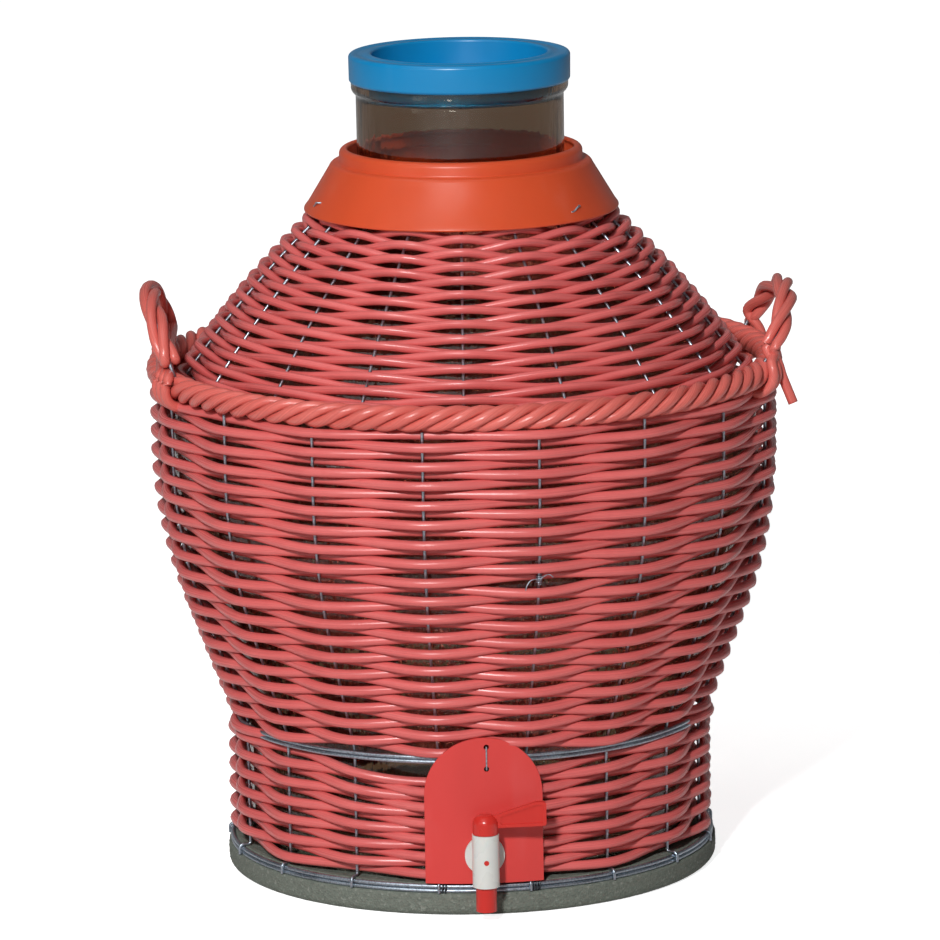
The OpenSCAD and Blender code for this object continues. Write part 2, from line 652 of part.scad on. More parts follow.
// Lid: skirt over the lip, flat rim, and a deep recess that plugs the mouth
module mouth_lid() color("#1f7fc4") {
    edge = 3;
    skirt_low = lid_z - lid_skirt_h;
    recess_r = plug_out - lid_plug_wall;
    plug_low = lid_z - lid_recess_h - lid_floor;
    rotate_extrude($fn = round_fn)
        polygon(concat(
            [[0, plug_low], [plug_out - 1.5, plug_low], [plug_out, plug_low + 2.5]],
            [[plug_out, lid_z - lid_top], [lip_r + lid_gap, lid_z - lid_top]],
            [[lip_r + lid_gap, skirt_low], [lid_r - 0.5, skirt_low], [lid_r, skirt_low + 0.8]],
            arc([lid_r - edge, lid_z - edge], edge, 0, 90, 6),
            arc([recess_r + 1.8, lid_z - 1.8], 1.8, 90, 180, 4),
            arc([recess_r - 3, lid_z - lid_recess_h + 3], 3, 0, -90, 4),
            [[0, lid_z - lid_recess_h]]));
}

// A cylinder that runs along the tap's inlet, from one distance to another
module along_inlet(from, to, r, fn = 64) {
    translate([0, -from, tap_z]) rotate([90, 0, 0]) cylinder(h = to - from, r = r, $fn = fn);
}

module tap_body() color("#e6e8e4") difference() {
    union() {
        translate([0, -tap_y, barrel_low]) cylinder(h = barrel_h, d = barrel_d, $fn = 96);
        along_inlet(flange_back, flange_back + flange_t, flange_d / 2);
        along_inlet(gasket_back + gasket_t + fit, flange_back + 1, stem_d / 2);
        along_inlet(inlet_end, tap_y - 6, inlet_r);
    }
    translate([0, -tap_y, barrel_low - 1]) cylinder(h = barrel_h + 2, r = bore_r, $fn = 96);
    along_inlet(inlet_end - 1, tap_y, inlet_bore / 2);
    along_inlet(tap_y + barrel_d / 2 - 1.2, tap_y + barrel_d / 2 + 2, dot_d / 2 + 0.05);
}

// Hollow plug with its spout below, a side port, a round cap and the lever
cap_low = barrel_top + seat;
function lever_outline() = [[0, cap_low + 4.4], [lever_l, cap_low + 5.2],
                            [lever_l, cap_low + 5.2 + lever_h], [lever_l - 7.5, cap_low + 5.2 + lever_h],
                            [0, cap_low + cap_h - 3]];
module tap_plug() color("#d83b30") translate([0, -tap_y, 0]) difference() {
    union() {
        translate([0, 0, barrel_low - spout_l]) cylinder(h = spout_l + 1, d = spout_d, $fn = 96);
        translate([0, 0, barrel_low]) cylinder(h = cap_low + 1 - barrel_low, d = plug_d, $fn = 96);
        translate([0, 0, cap_low]) rotate_extrude($fn = 96)
            polygon(concat([[0, 0], [cap_d / 2, 0]], arc([cap_d / 2 - 7, cap_h - 7], 7, 0, 70, 8),
                           [[0, cap_h]]));
        translate([0, lever_t / 2, 0]) rotate([90, 0, 0])
            linear_extrude(lever_t) polygon(rounded(lever_outline(), 2));
    }
    translate([0, 0, barrel_low - spout_l - 1])
        cylinder(h = tap_z + inlet_bore / 2 + 2 - barrel_low + spout_l, d = spout_bore, $fn = 72);
    translate([0, 0, tap_z]) rotate([0, -90, 0]) cylinder(h = plug_d, d = inlet_bore, $fn = 64);
    for (side = [-1, 1])
        translate([0, side * (lever_t / 2 - lever_panel / 2) + lever_panel / 2, 0]) rotate([90, 0, 0])
            linear_extrude(lever_panel) intersection() {
                polygon(rounded(inset(lever_outline(), lever_rim), 1));
                translate([cap_d / 2 + 2, 0]) square([lever_l, cap_low + lever_h + 40]);
            }
}

module tap_nut() color("#dcded8") difference() {
    along_inlet(gasket_in - gasket_t - fit - nut_t, gasket_in - gasket_t - fit, nut_d / 2, 6);
    along_inlet(inlet_end, gasket_in, inlet_r + fit);
}
module washer(from, to) difference() {
    along_inlet(from, to, nut_d / 2 - 0.5);
    along_inlet(from - 1, to + 1, inlet_r + fit);
}
module gasket_outer() color("#3c3c3a") washer(gasket_back, gasket_back + gasket_t);
module gasket_inner() color("#3c3c3a") washer(gasket_in - gasket_t, gasket_in);
module index_dot() color("#c03028")
    along_inlet(tap_y + barrel_d / 2 - 1.2 + fit / 2, tap_y + barrel_d / 2 + 0.15, dot_d / 2);

// Shield: a sheet bent round the basket, arched at the top, with two tie holes and the tap's hole
shield_low = pad_h + 1.6;
tie_x = 2.4;
hole_low = hoop_z - 5.6;
hole_high = hoop_z + 11;
module tap_shield() color("#e0504a") difference() {
    intersection() {
        difference() {
            translate([0, 0, shield_low]) cylinder(h = shield_h, r = shield_face, $fn = round_fn);
            translate([0, 0, shield_low - 1]) cylinder(h = shield_h + 2, r = shield_r, $fn = round_fn);
        }
        rotate([90, 0, 0]) linear_extrude(shield_face + 5)
            union() {
                translate([-shield_w / 2, shield_low]) square([shield_w, shield_h - shield_w / 2]);
                translate([0, shield_low + shield_h - shield_w / 2]) circle(d = shield_w, $fn = 96);
            }
    }
    along_inlet(shield_r - 10, shield_face + 10, stem_d / 2 + seat);
    for (z = [hole_low, hole_high])
        translate([tie_x, -shield_r + 10, z]) rotate([90, 0, 0])
            cylinder(h = 30, d = shield_hole_d, $fn = wire_fn);
}

// Loop of wire through both holes of the shield and round the waist hoop
module shield_tie() color("#d8dcdc") {
    out = shield_face + tie_wire_d / 2 + fit;
    in = shield_r - tie_wire_d / 2 - fit;
    back = hoop_r - hoop_wire_d / 2 - tie_wire_d / 2 - fit;
    over_hoop = hoop_z + hoop_wire_d + fit / 2 + tie_wire_d / 2 + fit;
    under_hoop = hoop_z - hoop_wire_d - fit / 2 - tie_wire_d / 2 - fit;
    translate([tie_x, 0, 0])
        loop([[back, under_hoop], [in, hole_low + 0.7], [out, hole_low], [out, hole_high],
              [in, hole_high], [in, over_hoop + 1], [back, over_hoop]], tie_wire_d);
}

base_pad();
base_ring();
body_stakes();
shoulder_stakes();
waist_hoop();
border_hoop();
collar_hoop();
weave_foot();
weave_belly();
weave_shoulder();
border_braid();
handle_core_left();
handle_core_right();
handle_left();
handle_right();
stake_splice();
shoulder_collar();
collar_ties();
glass_vessel();
mouth_lid();
tap_body();
tap_plug();
tap_nut();
gasket_outer();
gasket_inner();
index_dot();
tap_shield();
shield_tie();
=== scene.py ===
"""Glass carboy in a woven basket: an add-on that builds the detailed pieces and the studio."""
import functools
import math

import bpy
import numpy as np
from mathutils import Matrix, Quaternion, Vector


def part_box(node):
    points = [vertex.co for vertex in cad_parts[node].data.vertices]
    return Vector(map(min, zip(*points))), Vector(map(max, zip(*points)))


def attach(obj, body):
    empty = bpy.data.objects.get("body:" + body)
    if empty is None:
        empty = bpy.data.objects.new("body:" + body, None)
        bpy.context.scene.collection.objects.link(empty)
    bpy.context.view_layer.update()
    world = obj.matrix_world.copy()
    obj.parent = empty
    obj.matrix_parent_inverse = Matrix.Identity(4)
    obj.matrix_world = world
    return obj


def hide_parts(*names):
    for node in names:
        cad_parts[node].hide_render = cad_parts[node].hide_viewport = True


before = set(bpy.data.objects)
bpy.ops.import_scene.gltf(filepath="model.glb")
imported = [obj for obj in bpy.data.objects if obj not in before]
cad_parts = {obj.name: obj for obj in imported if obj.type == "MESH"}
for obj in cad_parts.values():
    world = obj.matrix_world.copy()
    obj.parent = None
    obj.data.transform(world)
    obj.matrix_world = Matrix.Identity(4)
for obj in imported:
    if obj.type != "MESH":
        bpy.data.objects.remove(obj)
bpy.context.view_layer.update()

bl_info = {
    "name": "Woven Carboy",
    "version": (1, 0, 0),
    "blender": (4, 5, 0),
    "location": "3D View > Sidebar > Carboy",
    "description": "Builds the woven basket, glass, collar, lid and studio of a wide-mouth carboy",
    "category": "Object",
}

MM = 0.001
RINGS_PER_STAKE = 8
NECK_RADIUS = 78 * MM
GLASS_WALL = 5 * MM
# Part of a turn that a band runs on past its first and its last row, at the back
LAP = 0.3
# Linear colour of the dark brown room that stands behind the glass
ROOM = (0.165, 0.103, 0.071)


# ---------------------------------------------------------------- sizes and colours

def length(name, default, description):
    """A length property in metres."""
    return bpy.props.FloatProperty(
        name=name, default=default, description=description, unit="LENGTH", subtype="DISTANCE",
        precision=4, min=0.0)


def angle(name, default, description):
    """An angle property, stored in radians."""
    return bpy.props.FloatProperty(
        name=name, default=math.radians(default), description=description, unit="ROTATION",
        subtype="ANGLE")


def colour(name, code, description):
    """A colour property from an sRGB hex code."""
    return bpy.props.FloatVectorProperty(
        name=name, default=linear(code), description=description, subtype="COLOR", size=3,
        min=0.0, max=1.0)


def linear(code):
    """Linear RGB of an sRGB hex code such as 'c85a50'."""
    srgb = [int(code[i:i + 2], 16) / 255 for i in (0, 2, 4)]
    return tuple(c / 12.92 if c <= 0.04045 else ((c + 0.055) / 1.055) ** 2.4 for c in srgb)


class BasketSizes(bpy.types.PropertyGroup):
    """Sizes of the wire frame, the strands and the ropes."""
    stakes: bpy.props.IntProperty(
        name="Stakes", default=17, min=3, description="Upright wires, an odd number")
    pad_height: length("Pad height", 0.024, "Height of the pad the glass stands on")
    foot_radius: length("Foot radius", 0.1772, "Radius of the upright wires at the foot")
    belly_radius: length("Belly radius", 0.2306, "Radius of the upright wires at the belly")
    splice_height: length("Splice height", 0.270, "Length along an upright to its splice")
    border_rope: length("Border rope", 0.0100, "Radius of the border rope")
    waist_height: length("Waist height", 0.118, "Height of the waist hoop")
    border_height: length("Border height", 0.384, "Height of the border's wire")
    collar_height: length("Collar height", 0.502, "Height of the collar's lower edge")
    collar_lip: length("Collar lip", 0.1186, "Radius of the collar's lower edge")
    flare: angle("Flare", 20.5, "Lean of the uprights above the waist")
    flare_round: length("Flare round", 0.35, "Radius of the curve above the flare")
    shoulder_lean: angle("Shoulder lean", 36.0, "Lean of the shoulder wires at the border")
    shoulder_curve: length("Shoulder curve", 0.85, "Radius of the shoulder's curve")
    shoulder_turn: angle("Shoulder turn", -3.0, "Azimuth of the first shoulder wire")
    stake_wire: length("Stake wire", 0.0023, "Diameter of an upright wire")
    hoop_wire: length("Hoop wire", 0.003, "Diameter of a hoop wire")
    strand: length("Strand", 0.0076, "Diameter of a woven strand")
    foot_pitch: length("Foot pitch", 0.0076, "Height of a row at the foot")
    belly_pitch: length("Belly pitch", 0.0072, "Height of a row at the belly")
    shoulder_pitch: length("Shoulder pitch", 0.0063, "Height of a row at the shoulder")
    rope_strand: length("Rope strand", 0.0078, "Diameter of a strand in the ropes")
    border_twists: bpy.props.IntProperty(
        name="Border twists", default=20, min=1, description="Full twists of the border rope")
    handle_span: length("Handle span", 0.158, "Distance between the feet of a handle")
    handle_height: length("Handle height", 0.041, "Height of a handle above its feet")
    handle_lean: length("Handle lean", 0.021, "How far the right handle leans out")
    left_height: length("Left handle height", 0.047, "Height of the left handle, which stands up")
    left_lean: length("Left handle lean", 0.016, "How far the left handle leans out")
    handle_twists: bpy.props.FloatProperty(
        name="Handle twists", default=1.6, min=0.0, description="Full twists of a handle's strands")
    tap_height: length("Tap height", 0.0477, "Height of the tap's inlet")
    tap_bay: length("Tap bay", 0.0155, "Half height of the rows that stop beside the tap")
    tap_sag: length("Tap sag", 0.012, "How far the top foot row sags beside the tap's shield")


class CarboyColours(bpy.types.PropertyGroup):
    """Base colours of the materials."""
    strand: colour("Strand", "e06866", "Soft PVC strand")
    rope: colour("Rope", "df6a60", "Strand of the ropes, a little more orange")
    wire: colour("Wire", "b4c0cb", "Galvanised wire")
    collar: colour("Collar", "d8522c", "Orange collar")
    lid: colour("Lid", "0886c0", "Blue lid")
    pad: colour("Pad", "737a70", "Granulate pad")
    shield: colour("Shield", "dc4440", "Shield plate")
    tap_white: colour("Tap white", "dfe2dd", "White body of the tap")
    tap_red: colour("Tap red", "d2322a", "Red plug of the tap")
    rubber: colour("Rubber", "2b2b2a", "Gaskets")
    glass: colour("Glass", "d6d3c8", "Tint of the smoky glass")
    floor: colour("Floor", "f2f2f1", "Studio floor")


# ---------------------------------------------------------------- meridians

class Meridian:
    """Lines of the wire frame in the plane of radius and height, as functions of their length."""

    def __init__(self, sizes):
        self.sizes = sizes
        self.bend = sizes.waist_height + sizes.hoop_wire + 0.0006
        inward = sizes.flare_round * (1 - math.cos(sizes.flare))
        self.straight = (sizes.belly_radius - sizes.foot_radius - inward) / math.sin(sizes.flare)
        self.flare_end = self.bend + self.straight
        self.curve_end = self.flare_end + sizes.flare_round * sizes.flare
        self.curve_height = (self.bend + self.straight * math.cos(sizes.flare)
                             + sizes.flare_round * math.sin(sizes.flare))
        reach = sizes.border_rope + 9.4 * MM
        start = (sizes.belly_radius - reach, sizes.border_height - 4 * MM)
        self.hub = (start[0] - sizes.shoulder_curve * math.cos(sizes.shoulder_lean),
                    start[1] - sizes.shoulder_curve * math.sin(sizes.shoulder_lean))

    def body(self, s):
        """Radius, height and outward lean of the body wires: upright, a lean, an arc, upright."""
        z = self.sizes
        lean = np.interp(s, [self.flare_end, self.curve_end], [z.flare, 0.0])
        lean = np.where(s < self.bend, 0.0, lean)
        along = np.clip(s - self.bend, 0.0, self.straight)
        radius = np.where(
            s < self.flare_end, z.foot_radius + along * math.sin(z.flare),
            z.belly_radius - z.flare_round * (1 - np.cos(lean)))
        height = np.where(
            s < self.flare_end, np.minimum(s, self.bend) + along * math.cos(z.flare),
            self.curve_height - z.flare_round * np.sin(lean) + np.maximum(s - self.curve_end, 0.0))
        return radius, height, lean

    def shoulder(self, s):
        """Radius, height and lean of the shoulder wires: one long arc that leans inwards."""
        turn = self.sizes.shoulder_lean + s / self.sizes.shoulder_curve
        radius = self.hub[0] + self.sizes.shoulder_curve * np.cos(turn)
        height = self.hub[1] + self.sizes.shoulder_curve * np.sin(turn)
        return radius, height, -turn

    def shoulder_length(self, height):
        """Length along the shoulder at a height."""
        turn = math.asin((height - self.hub[1]) / self.sizes.shoulder_curve)
        return (turn - self.sizes.shoulder_lean) * self.sizes.shoulder_curve


# ---------------------------------------------------------------- surfaces

def linked(name, data):
    """A new object in the scene that holds some data."""
    thing = bpy.data.objects.new(name, data)
    bpy.context.scene.collection.objects.link(thing)
    return thing


def smooth(mesh):
    """Shades every side of a mesh smooth."""
    mesh.polygons.foreach_set("use_smooth", np.ones(len(mesh.polygons), dtype=bool))


def dress(mesh, material):
    """Gives a mesh one material."""
    mesh.materials.clear()
    mesh.materials.append(material)


def grid_object(name, grid, along, around, closed):
    """A mesh of rings: grid[i, j] is point j of ring i. Each ring closes on itself; with closed,
    the last ring joins the first, and otherwise both ends are capped. Each side of the surface
    is the quad (i, j), (i, j+1), (i+1, j+1), (i+1, j). The UV map holds lengths in metres."""
    rings, points = grid.shape[:2]
    rows = rings if closed else rings - 1
    i, j = (a.ravel() for a in np.meshgrid(np.arange(rows), np.arange(points), indexing="ij"))
    i_next = (i + 1) % rings
    j_next = (j + 1) % points
    loops = np.stack([i * points + j, i * points + j_next,
                      i_next * points + j_next, i_next * points + j], axis=1).ravel()
    uv = np.stack([along[i], around[j], along[i], around[j + 1],
                   along[i + 1], around[j + 1], along[i + 1], around[j]], axis=1).reshape(-1, 2)
    starts = np.arange(rows * points) * 4
    if not closed:
        first = np.arange(points)[::-1]
        last = np.arange(points) + (rings - 1) * points
        starts = np.concatenate([starts, [len(loops), len(loops) + points]])
        loops = np.concatenate([loops, first, last])
        uv = np.concatenate([uv, np.zeros((2 * points, 2))])
    mesh = bpy.data.meshes.new(name)
    mesh.vertices.add(rings * points)
    mesh.vertices.foreach_set("co", grid.astype(np.float32).ravel())
    mesh.loops.add(len(loops))
    mesh.loops.foreach_set("vertex_index", loops.astype(np.int32))
    mesh.polygons.add(len(starts))
    mesh.polygons.foreach_set("loop_start", starts.astype(np.int32))
    smooth(mesh)
    mesh.uv_layers.new(name="UVMap").uv.foreach_set("vector", uv.astype(np.float32).ravel())
    mesh.update(calc_edges=True)
    mesh.validate()
    return linked(name, mesh)


def path_lengths(points):
    """Length from the first point to each point of a path."""
    steps = np.linalg.norm(np.diff(points, axis=0), axis=1)
    return np.concatenate([[0.0], np.cumsum(steps)])


def square_frame(path, reference, closed=False):
    """Two directions square to a path: u nearest to the reference, v square to both."""
    around = np.roll(path, -1, axis=0) - np.roll(path, 1, axis=0)
    tangent = around if closed else np.gradient(path, axis=0)
    tangent /= np.linalg.norm(tangent, axis=1, keepdims=True)
    u = reference - np.sum(reference * tangent, axis=1, keepdims=True) * tangent
    u /= np.linalg.norm(u, axis=1, keepdims=True)
    return u, np.cross(tangent, u)


def tube_object(name, centre, up, half_out, half_up, sides, closed=False):
    """An oval tube along a path, half_up towards up and half_out square to it."""
    u, v = square_frame(centre, up, closed)
    f = np.linspace(0, 2 * np.pi, sides, endpoint=False)[None, :, None]
    grid = centre[:, None] - half_out * np.cos(f) * v[:, None] + half_up * np.sin(f) * u[:, None]
    loop = np.vstack([centre, centre[:1]]) if closed else centre
    around = np.linspace(0, np.pi * (half_out + half_up), sides + 1)
    return grid_object(name, grid, path_lengths(loop), around, closed)


def wire_tube(name, centre, up, diameter, sides=8):
    """A round tube along a path."""
    return tube_object(name, centre, up, diameter / 2, diameter / 2, sides)


def lathe_object(name, profile, segments, wobble, closed=False):
    """A surface of revolution: profile rows are (radius, height), upwards on the outside. wobble
    adds a small (radius, height) change that depends on azimuth and profile row."""
    profile = np.asarray(profile, dtype=float)
    azimuth = np.linspace(0, 2 * np.pi, segments, endpoint=False)
    radius = np.repeat(profile[:, :1], segments, axis=1)
    height = np.repeat(profile[:, 1:], segments, axis=1)
    extra_radius, extra_height = wobble(azimuth[None, :], radius, height)
    radius = radius + extra_radius
    height = height + extra_height
    grid = np.stack([radius * np.sin(azimuth), -radius * np.cos(azimuth), height], axis=2)
    loop = np.vstack([profile, profile[:1]]) if closed else profile
    around = np.linspace(0, 2 * np.pi * profile[:, 0].max(), segments + 1)
    return grid_object(name, grid, path_lengths(loop), around, closed)


def arc(centre, radius, start, end, count):
    """Points of an arc in the plane of radius and height, angles in degrees."""
    turn = np.radians(np.linspace(start, end, count + 1))
    return [(centre[0] + radius * c, centre[1] + radius * s) for c, s in zip(np.cos(turn), np.sin(turn))]


def place(radius, height, azimuth):
    """Points at a radius, a height and an azimuth counted from -Y towards +X."""
    radius, height, azimuth = np.broadcast_arrays(radius, height, azimuth)
    return np.stack([radius * np.sin(azimuth), -radius * np.cos(azimuth), height], axis=-1)


def waves(x, rng, lengths, size):
    """A smooth irregular line: the sum of sines of several lengths with seeded phases."""
    phase = rng.uniform(0, 2 * np.pi, len(lengths))
    parts = [np.sin(2 * np.pi * x / l + p) for l, p in zip(lengths, phase)]
    return size * sum(parts) / math.sqrt(len(lengths))


def joined(name, pieces):
    """One object from several, which it replaces."""
    bpy.ops.object.select_all(action="DESELECT")
    for piece in pieces:
        piece.select_set(True)
    bpy.context.view_layer.objects.active = pieces[0]
    if len(pieces) > 1:
        bpy.ops.object.join()
    pieces[0].name = name
    pieces[0].data.name = name
    return pieces[0]


def finish_piece(piece, body, material, slot, *nodes):
    """Gives a piece its material, the CAD nodes it stands for and the body it rides on; slot is not used."""
    dress(piece.data, material)
    if nodes:
        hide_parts(*nodes)
    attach(piece, body)


# ---------------------------------------------------------------- materials

class Nodes:
    """The emptied node tree of a material or world. One call adds a node with its settings and
    links."""

    def __init__(self, owner):
        owner.use_nodes = True
        self.tree = owner.node_tree
        self.tree.nodes.clear()

    def add(self, kind, values=None, **settings):
        """A node of a kind. values sets inputs by name or number, from a socket or a value."""
        node = self.tree.nodes.new("ShaderNode" + kind)
        for key, value in settings.items():
            setattr(node, key, value)
        for key, value in (values or {}).items():
            if isinstance(value, bpy.types.NodeSocket):
                self.tree.links.new(value, node.inputs[key])
            else:
                node.inputs[key].default_value = value
        return node

    def ramp(self, factor, *stops):
        """A colour ramp through (position, rgb) stops."""
        node = self.add("ValToRGB", {"Fac": factor})
        ramp = node.color_ramp
        while len(ramp.elements) < len(stops):
            ramp.elements.new(0.5)
        for element, (position, rgb) in zip(ramp.elements, stops):
            element.position = position
            element.color = (*rgb, 1.0)
        return node.outputs["Color"]

    def span(self, value, low, high, from_low, from_high):
        """value mapped from one range to another."""
        return self.add("MapRange", {"Value": value, "From Min": from_low, "From Max": from_high,
                                     "To Min": low, "To Max": high}).outputs["Result"]

    def noise(self, vector, scale, detail, roughness=0.5):
        """Noise of a scale per metre."""
        return self.add("TexNoise", {"Vector": vector, "Scale": scale, "Detail": detail,
                                     "Roughness": roughness}).outputs["Fac"]

    def stretched(self, vector, x, y, z=1.0):
        """Coordinates multiplied along each axis."""
        return self.add("Mapping", {"Vector": vector, "Scale": (x, y, z)}).outputs["Vector"]

    def place(self, name="Object"):
        """Object coordinates in metres, or the UV map."""
        return self.add("TexCoord").outputs[name]

    def bump(self, height, distance, strength):
        """A bump of a height in metres."""
        return self.add("Bump", {"Height": height, "Distance": distance,
                                 "Strength": strength}).outputs["Normal"]

    def calc(self, operation, a, b):
        """The result of a sum or product of two values."""
        return self.add("Math", {0: a, 1: b}, operation=operation).outputs[0]

    def blend(self, factor, a, b):
        """A colour between a and b."""
        return self.add("Mix", {"Factor": factor, 6: a, 7: b}, data_type="RGBA").outputs[2]

    def surface(self, values):
        """The principled shader and the output."""
        shader = self.add("BsdfPrincipled", values)
        self.add("OutputMaterial", {"Surface": shader.outputs["BSDF"]})


def made_once(fill):
    """Turns a function that fills a node tree into one that gives the material of a name, which
    is made and filled only the first time."""
    @functools.wraps(fill)
    def material_of(name, *values):
        material = bpy.data.materials.get(name)
        if material is None:
            material = bpy.data.materials.new(name)
            fill(Nodes(material), *values)
        return material
    return material_of


def shade(rgb, factor):
    """A colour made darker or lighter by a factor."""
    return tuple(min(1.0, c * factor) for c in rgb)


def tint(rgb, other, part):
    """A colour part of the way to another."""
    return tuple(a + (b - a) * part for a, b in zip(rgb, other))


@made_once
def strand_material(n, rgb):
    """Extruded soft PVC: fine lines along the strand, slow changes of tone, and random patches that are
    darker or lighter and more orange, the orange ones a painted sheen.
    """
    uv = n.place("UV")
    lines = n.noise(n.stretched(uv, 9.0, 2600.0), 1.0, 3.0, 0.6)
    coarse = n.noise(n.stretched(uv, 5.0, 700.0), 1.0, 2.0)
    patches = n.noise(n.place(), 22.0, 3.0, 0.6)
    tone = n.span(n.calc("ADD", lines, coarse), 0.0, 1.0, 0.7, 1.3)
    base = n.ramp(tone, (0.0, shade(rgb, 0.74)), (0.5, rgb), (1.0, shade(rgb, 1.16)))
    # Random patches: the dark end is a change of tone; the light end is tinted orange as a painted sheen
    # that stands in for orange highlights.
    tone_and_sheen_patches = n.ramp(patches, (0.35, shade(rgb, 0.82)), (0.65, tint(rgb, (0.8, 0.5, 0.42), 0.14)))
    mix = n.blend(0.35, base, tone_and_sheen_patches)
    rough = n.span(lines, 0.2, 0.36, 0.3, 0.7)
    n.surface({"Base Color": mix, "Roughness": rough, "IOR": 1.52,
               "Normal": n.bump(tone, 0.00006, 0.9)})


@made_once
def wire_material(n, rgb):
    """Drawn galvanised wire: a fine spangle, dull grey zinc and brighter rubbed spots."""
    spot = n.place()
    spangle = n.noise(spot, 700.0, 3.0, 0.6)
    patches = n.noise(spot, 60.0, 2.0)
    base = n.ramp(spangle, (0.3, shade(rgb, 0.55)), (0.55, rgb), (0.8, shade(rgb, 1.25)))
    rough = n.span(patches, 0.3, 0.55, 0.3, 0.7)
    n.surface({"Base Color": base, "Metallic": 1.0, "Roughness": rough,
               "Normal": n.bump(spangle, 0.00004, 0.6)})


@made_once
def moulded_material(n, rgb, gloss, grain, clear=0.0):
    """Injection-moulded plastic: slight flow marks, a fine grain and scuffed, duller areas."""
    spot = n.place()
    flow = n.noise(n.stretched(spot, 30.0, 30.0, 9.0), 1.0, 3.0)
    fine = n.noise(spot, grain, 2.0)
    scuff = n.noise(spot, 40.0, 2.0, 0.5)
    base = n.ramp(flow, (0.25, shade(rgb, 0.94)), (0.6, rgb), (0.85, tint(rgb, (1, 1, 1), 0.03)))
    rough = n.span(scuff, gloss - 0.03, gloss + 0.06, 0.3, 0.7)
    n.surface({"Base Color": base, "Roughness": rough, "IOR": 1.5, "Subsurface Weight": clear,
               "Subsurface Radius": (0.01, 0.003, 0.002), "Subsurface Scale": 0.3,
               "Normal": n.bump(fine, 0.00002, 0.25)})


@made_once
def granulate_material(n, rgb):
    """Pressed rubber granulate: crumbs of 1 to 2 mm in grey-green, some light and some black."""
    spot = n.place()
    crumb, small = (n.add("TexVoronoi", {"Vector": spot, "Scale": scale, "Randomness": 1.0})
                    for scale in (620.0, 1500.0))
    pick, pick_small = (n.add("SeparateColor", {"Color": cells.outputs["Color"]}).outputs["Red"]
                        for cells in (crumb, small))
    grey = n.ramp(pick, (0.0, shade(rgb, 0.68)), (0.25, shade(rgb, 0.9)), (0.7, rgb),
                  (0.9, shade(rgb, 1.08)), (1.0, tint(rgb, (0.6, 0.62, 0.56), 0.3)))
    fine = n.ramp(pick_small, (0.0, shade(rgb, 0.7)), (0.8, rgb), (1.0, shade(rgb, 1.3)))
    base = n.blend(0.35, grey, fine)
    height = n.calc("MULTIPLY", crumb.outputs["Distance"], 0.5)
    n.surface({"Base Color": base, "Roughness": 0.82, "IOR": 1.5,
               "Normal": n.bump(height, 0.0015, 0.7)})


@made_once
def glass_material(n, rgb):
    """Thick smoky bottle glass with a faint wave in its surface. Light passes it on its way to
    what stands behind."""
    wave = n.noise(n.stretched(n.place(), 90.0, 90.0, 14.0), 1.0, 3.0)
    solid = n.add("BsdfPrincipled", {"Base Color": (*rgb, 1.0), "Roughness": 0.02, "IOR": 1.5,
                                     "Transmission Weight": 1.0,
                                     "Normal": n.bump(wave, 0.0012, 0.6)}).outputs["BSDF"]
    clear = n.add("BsdfTransparent", {"Color": (*tint(rgb, (1, 1, 1), 0.7), 1.0)}).outputs["BSDF"]
    shadow = n.add("LightPath").outputs["Is Shadow Ray"]
    mixed = n.add("MixShader", {0: shadow, 1: solid, 2: clear}).outputs[0]
    n.add("OutputMaterial", {"Surface": mixed})


@made_once
def floor_material(n, rgb):
    """Pale matt paper that shows white to the camera, so that the floor has no horizon."""
    paper = n.add("BsdfDiffuse", {"Color": (*rgb, 1.0), "Roughness": 0.6}).outputs["BSDF"]
    seen = n.add("LightPath").outputs["Is Camera Ray"]
    white = n.add("Emission", {"Color": (1, 1, 1, 1),
                               "Strength": n.calc("MULTIPLY", seen, 0.84)}).outputs[0]
    both = n.add("AddShader", {0: paper, 1: white}).outputs[0]
    room = n.add("Emission", {"Color": (*ROOM, 1.0), "Strength": 1.0}).outputs[0]
    through = n.add("LightPath").outputs["Is Transmission Ray"]
    mixed = n.add("MixShader", {0: through, 1: both, 2: room}).outputs[0]
    n.add("OutputMaterial", {"Surface": mixed})


# ---------------------------------------------------------------- pieces of the basket

def woven_strand(name, sizes, line, start, pitch, first, last, turn, seed, sag=None):
    """One strand that winds round the basket and passes outside one stake and inside the next:
    its offset from the wires' line is a cosine with a half turn per stake. Between two stakes
    it cuts halfway towards the chord. n counts the stakes. The rows are level at the front,
    because the strand climbs to the next row mostly at the back."""
    rng = np.random.default_rng(seed)
    step = 2 * math.pi / sizes.stakes
    n = np.linspace(first, last, int(round((last - first) * RINGS_PER_STAKE)) + 1)
    azimuth = turn + n * step
    turns = n / sizes.stakes
    s = start + pitch * (turns - 0.15 * np.sin(2 * np.pi * turns))
    s = s + waves(n, rng, (5.3, 17.9, 41.0), 0.3 * MM) + spread_rows(sizes, s, azimuth)
    if sag is not None:
        s = s - sag(s, azimuth)
    radius, height, lean = line(s)
    chord = math.cos(step / 2) / np.cos(step * (n % 1 - 0.5))
    radius = radius * (0.5 + 0.5 * chord)
    reach = sizes.stake_wire / 2 + sizes.strand / 2 + 0.15 * MM
    offset = reach * np.cos(np.pi * n) + waves(n, rng, (3.1, 11.7), 0.2 * MM)
    centre = place(radius + offset * np.cos(lean), height - offset * np.sin(lean), azimuth)
    up = place(np.sin(lean), np.cos(lean), azimuth)
    half_up = min(sizes.strand * 0.97, pitch - 0.1 * MM) / 2
    return tube_object(name, centre, up, sizes.strand / 2, half_up, 10)


def wrapped(azimuth):
    """An azimuth brought to the turn either side of the front."""
    return (azimuth + math.pi) % (2 * math.pi) - math.pi


def spread_rows(sizes, s, azimuth):
    """Rows part above and below the spliced wire, so that the splice shows between them."""
    step = 2 * math.pi / sizes.stakes
    near = np.exp(-(wrapped(azimuth - step / 2) / (0.6 * step)) ** 2)
    over = s - sizes.splice_height
    gap, reach = 2.2 * MM, 24 * MM
    return gap * near * np.tanh(over / (3 * MM)) * np.exp(-(over / reach) ** 2)


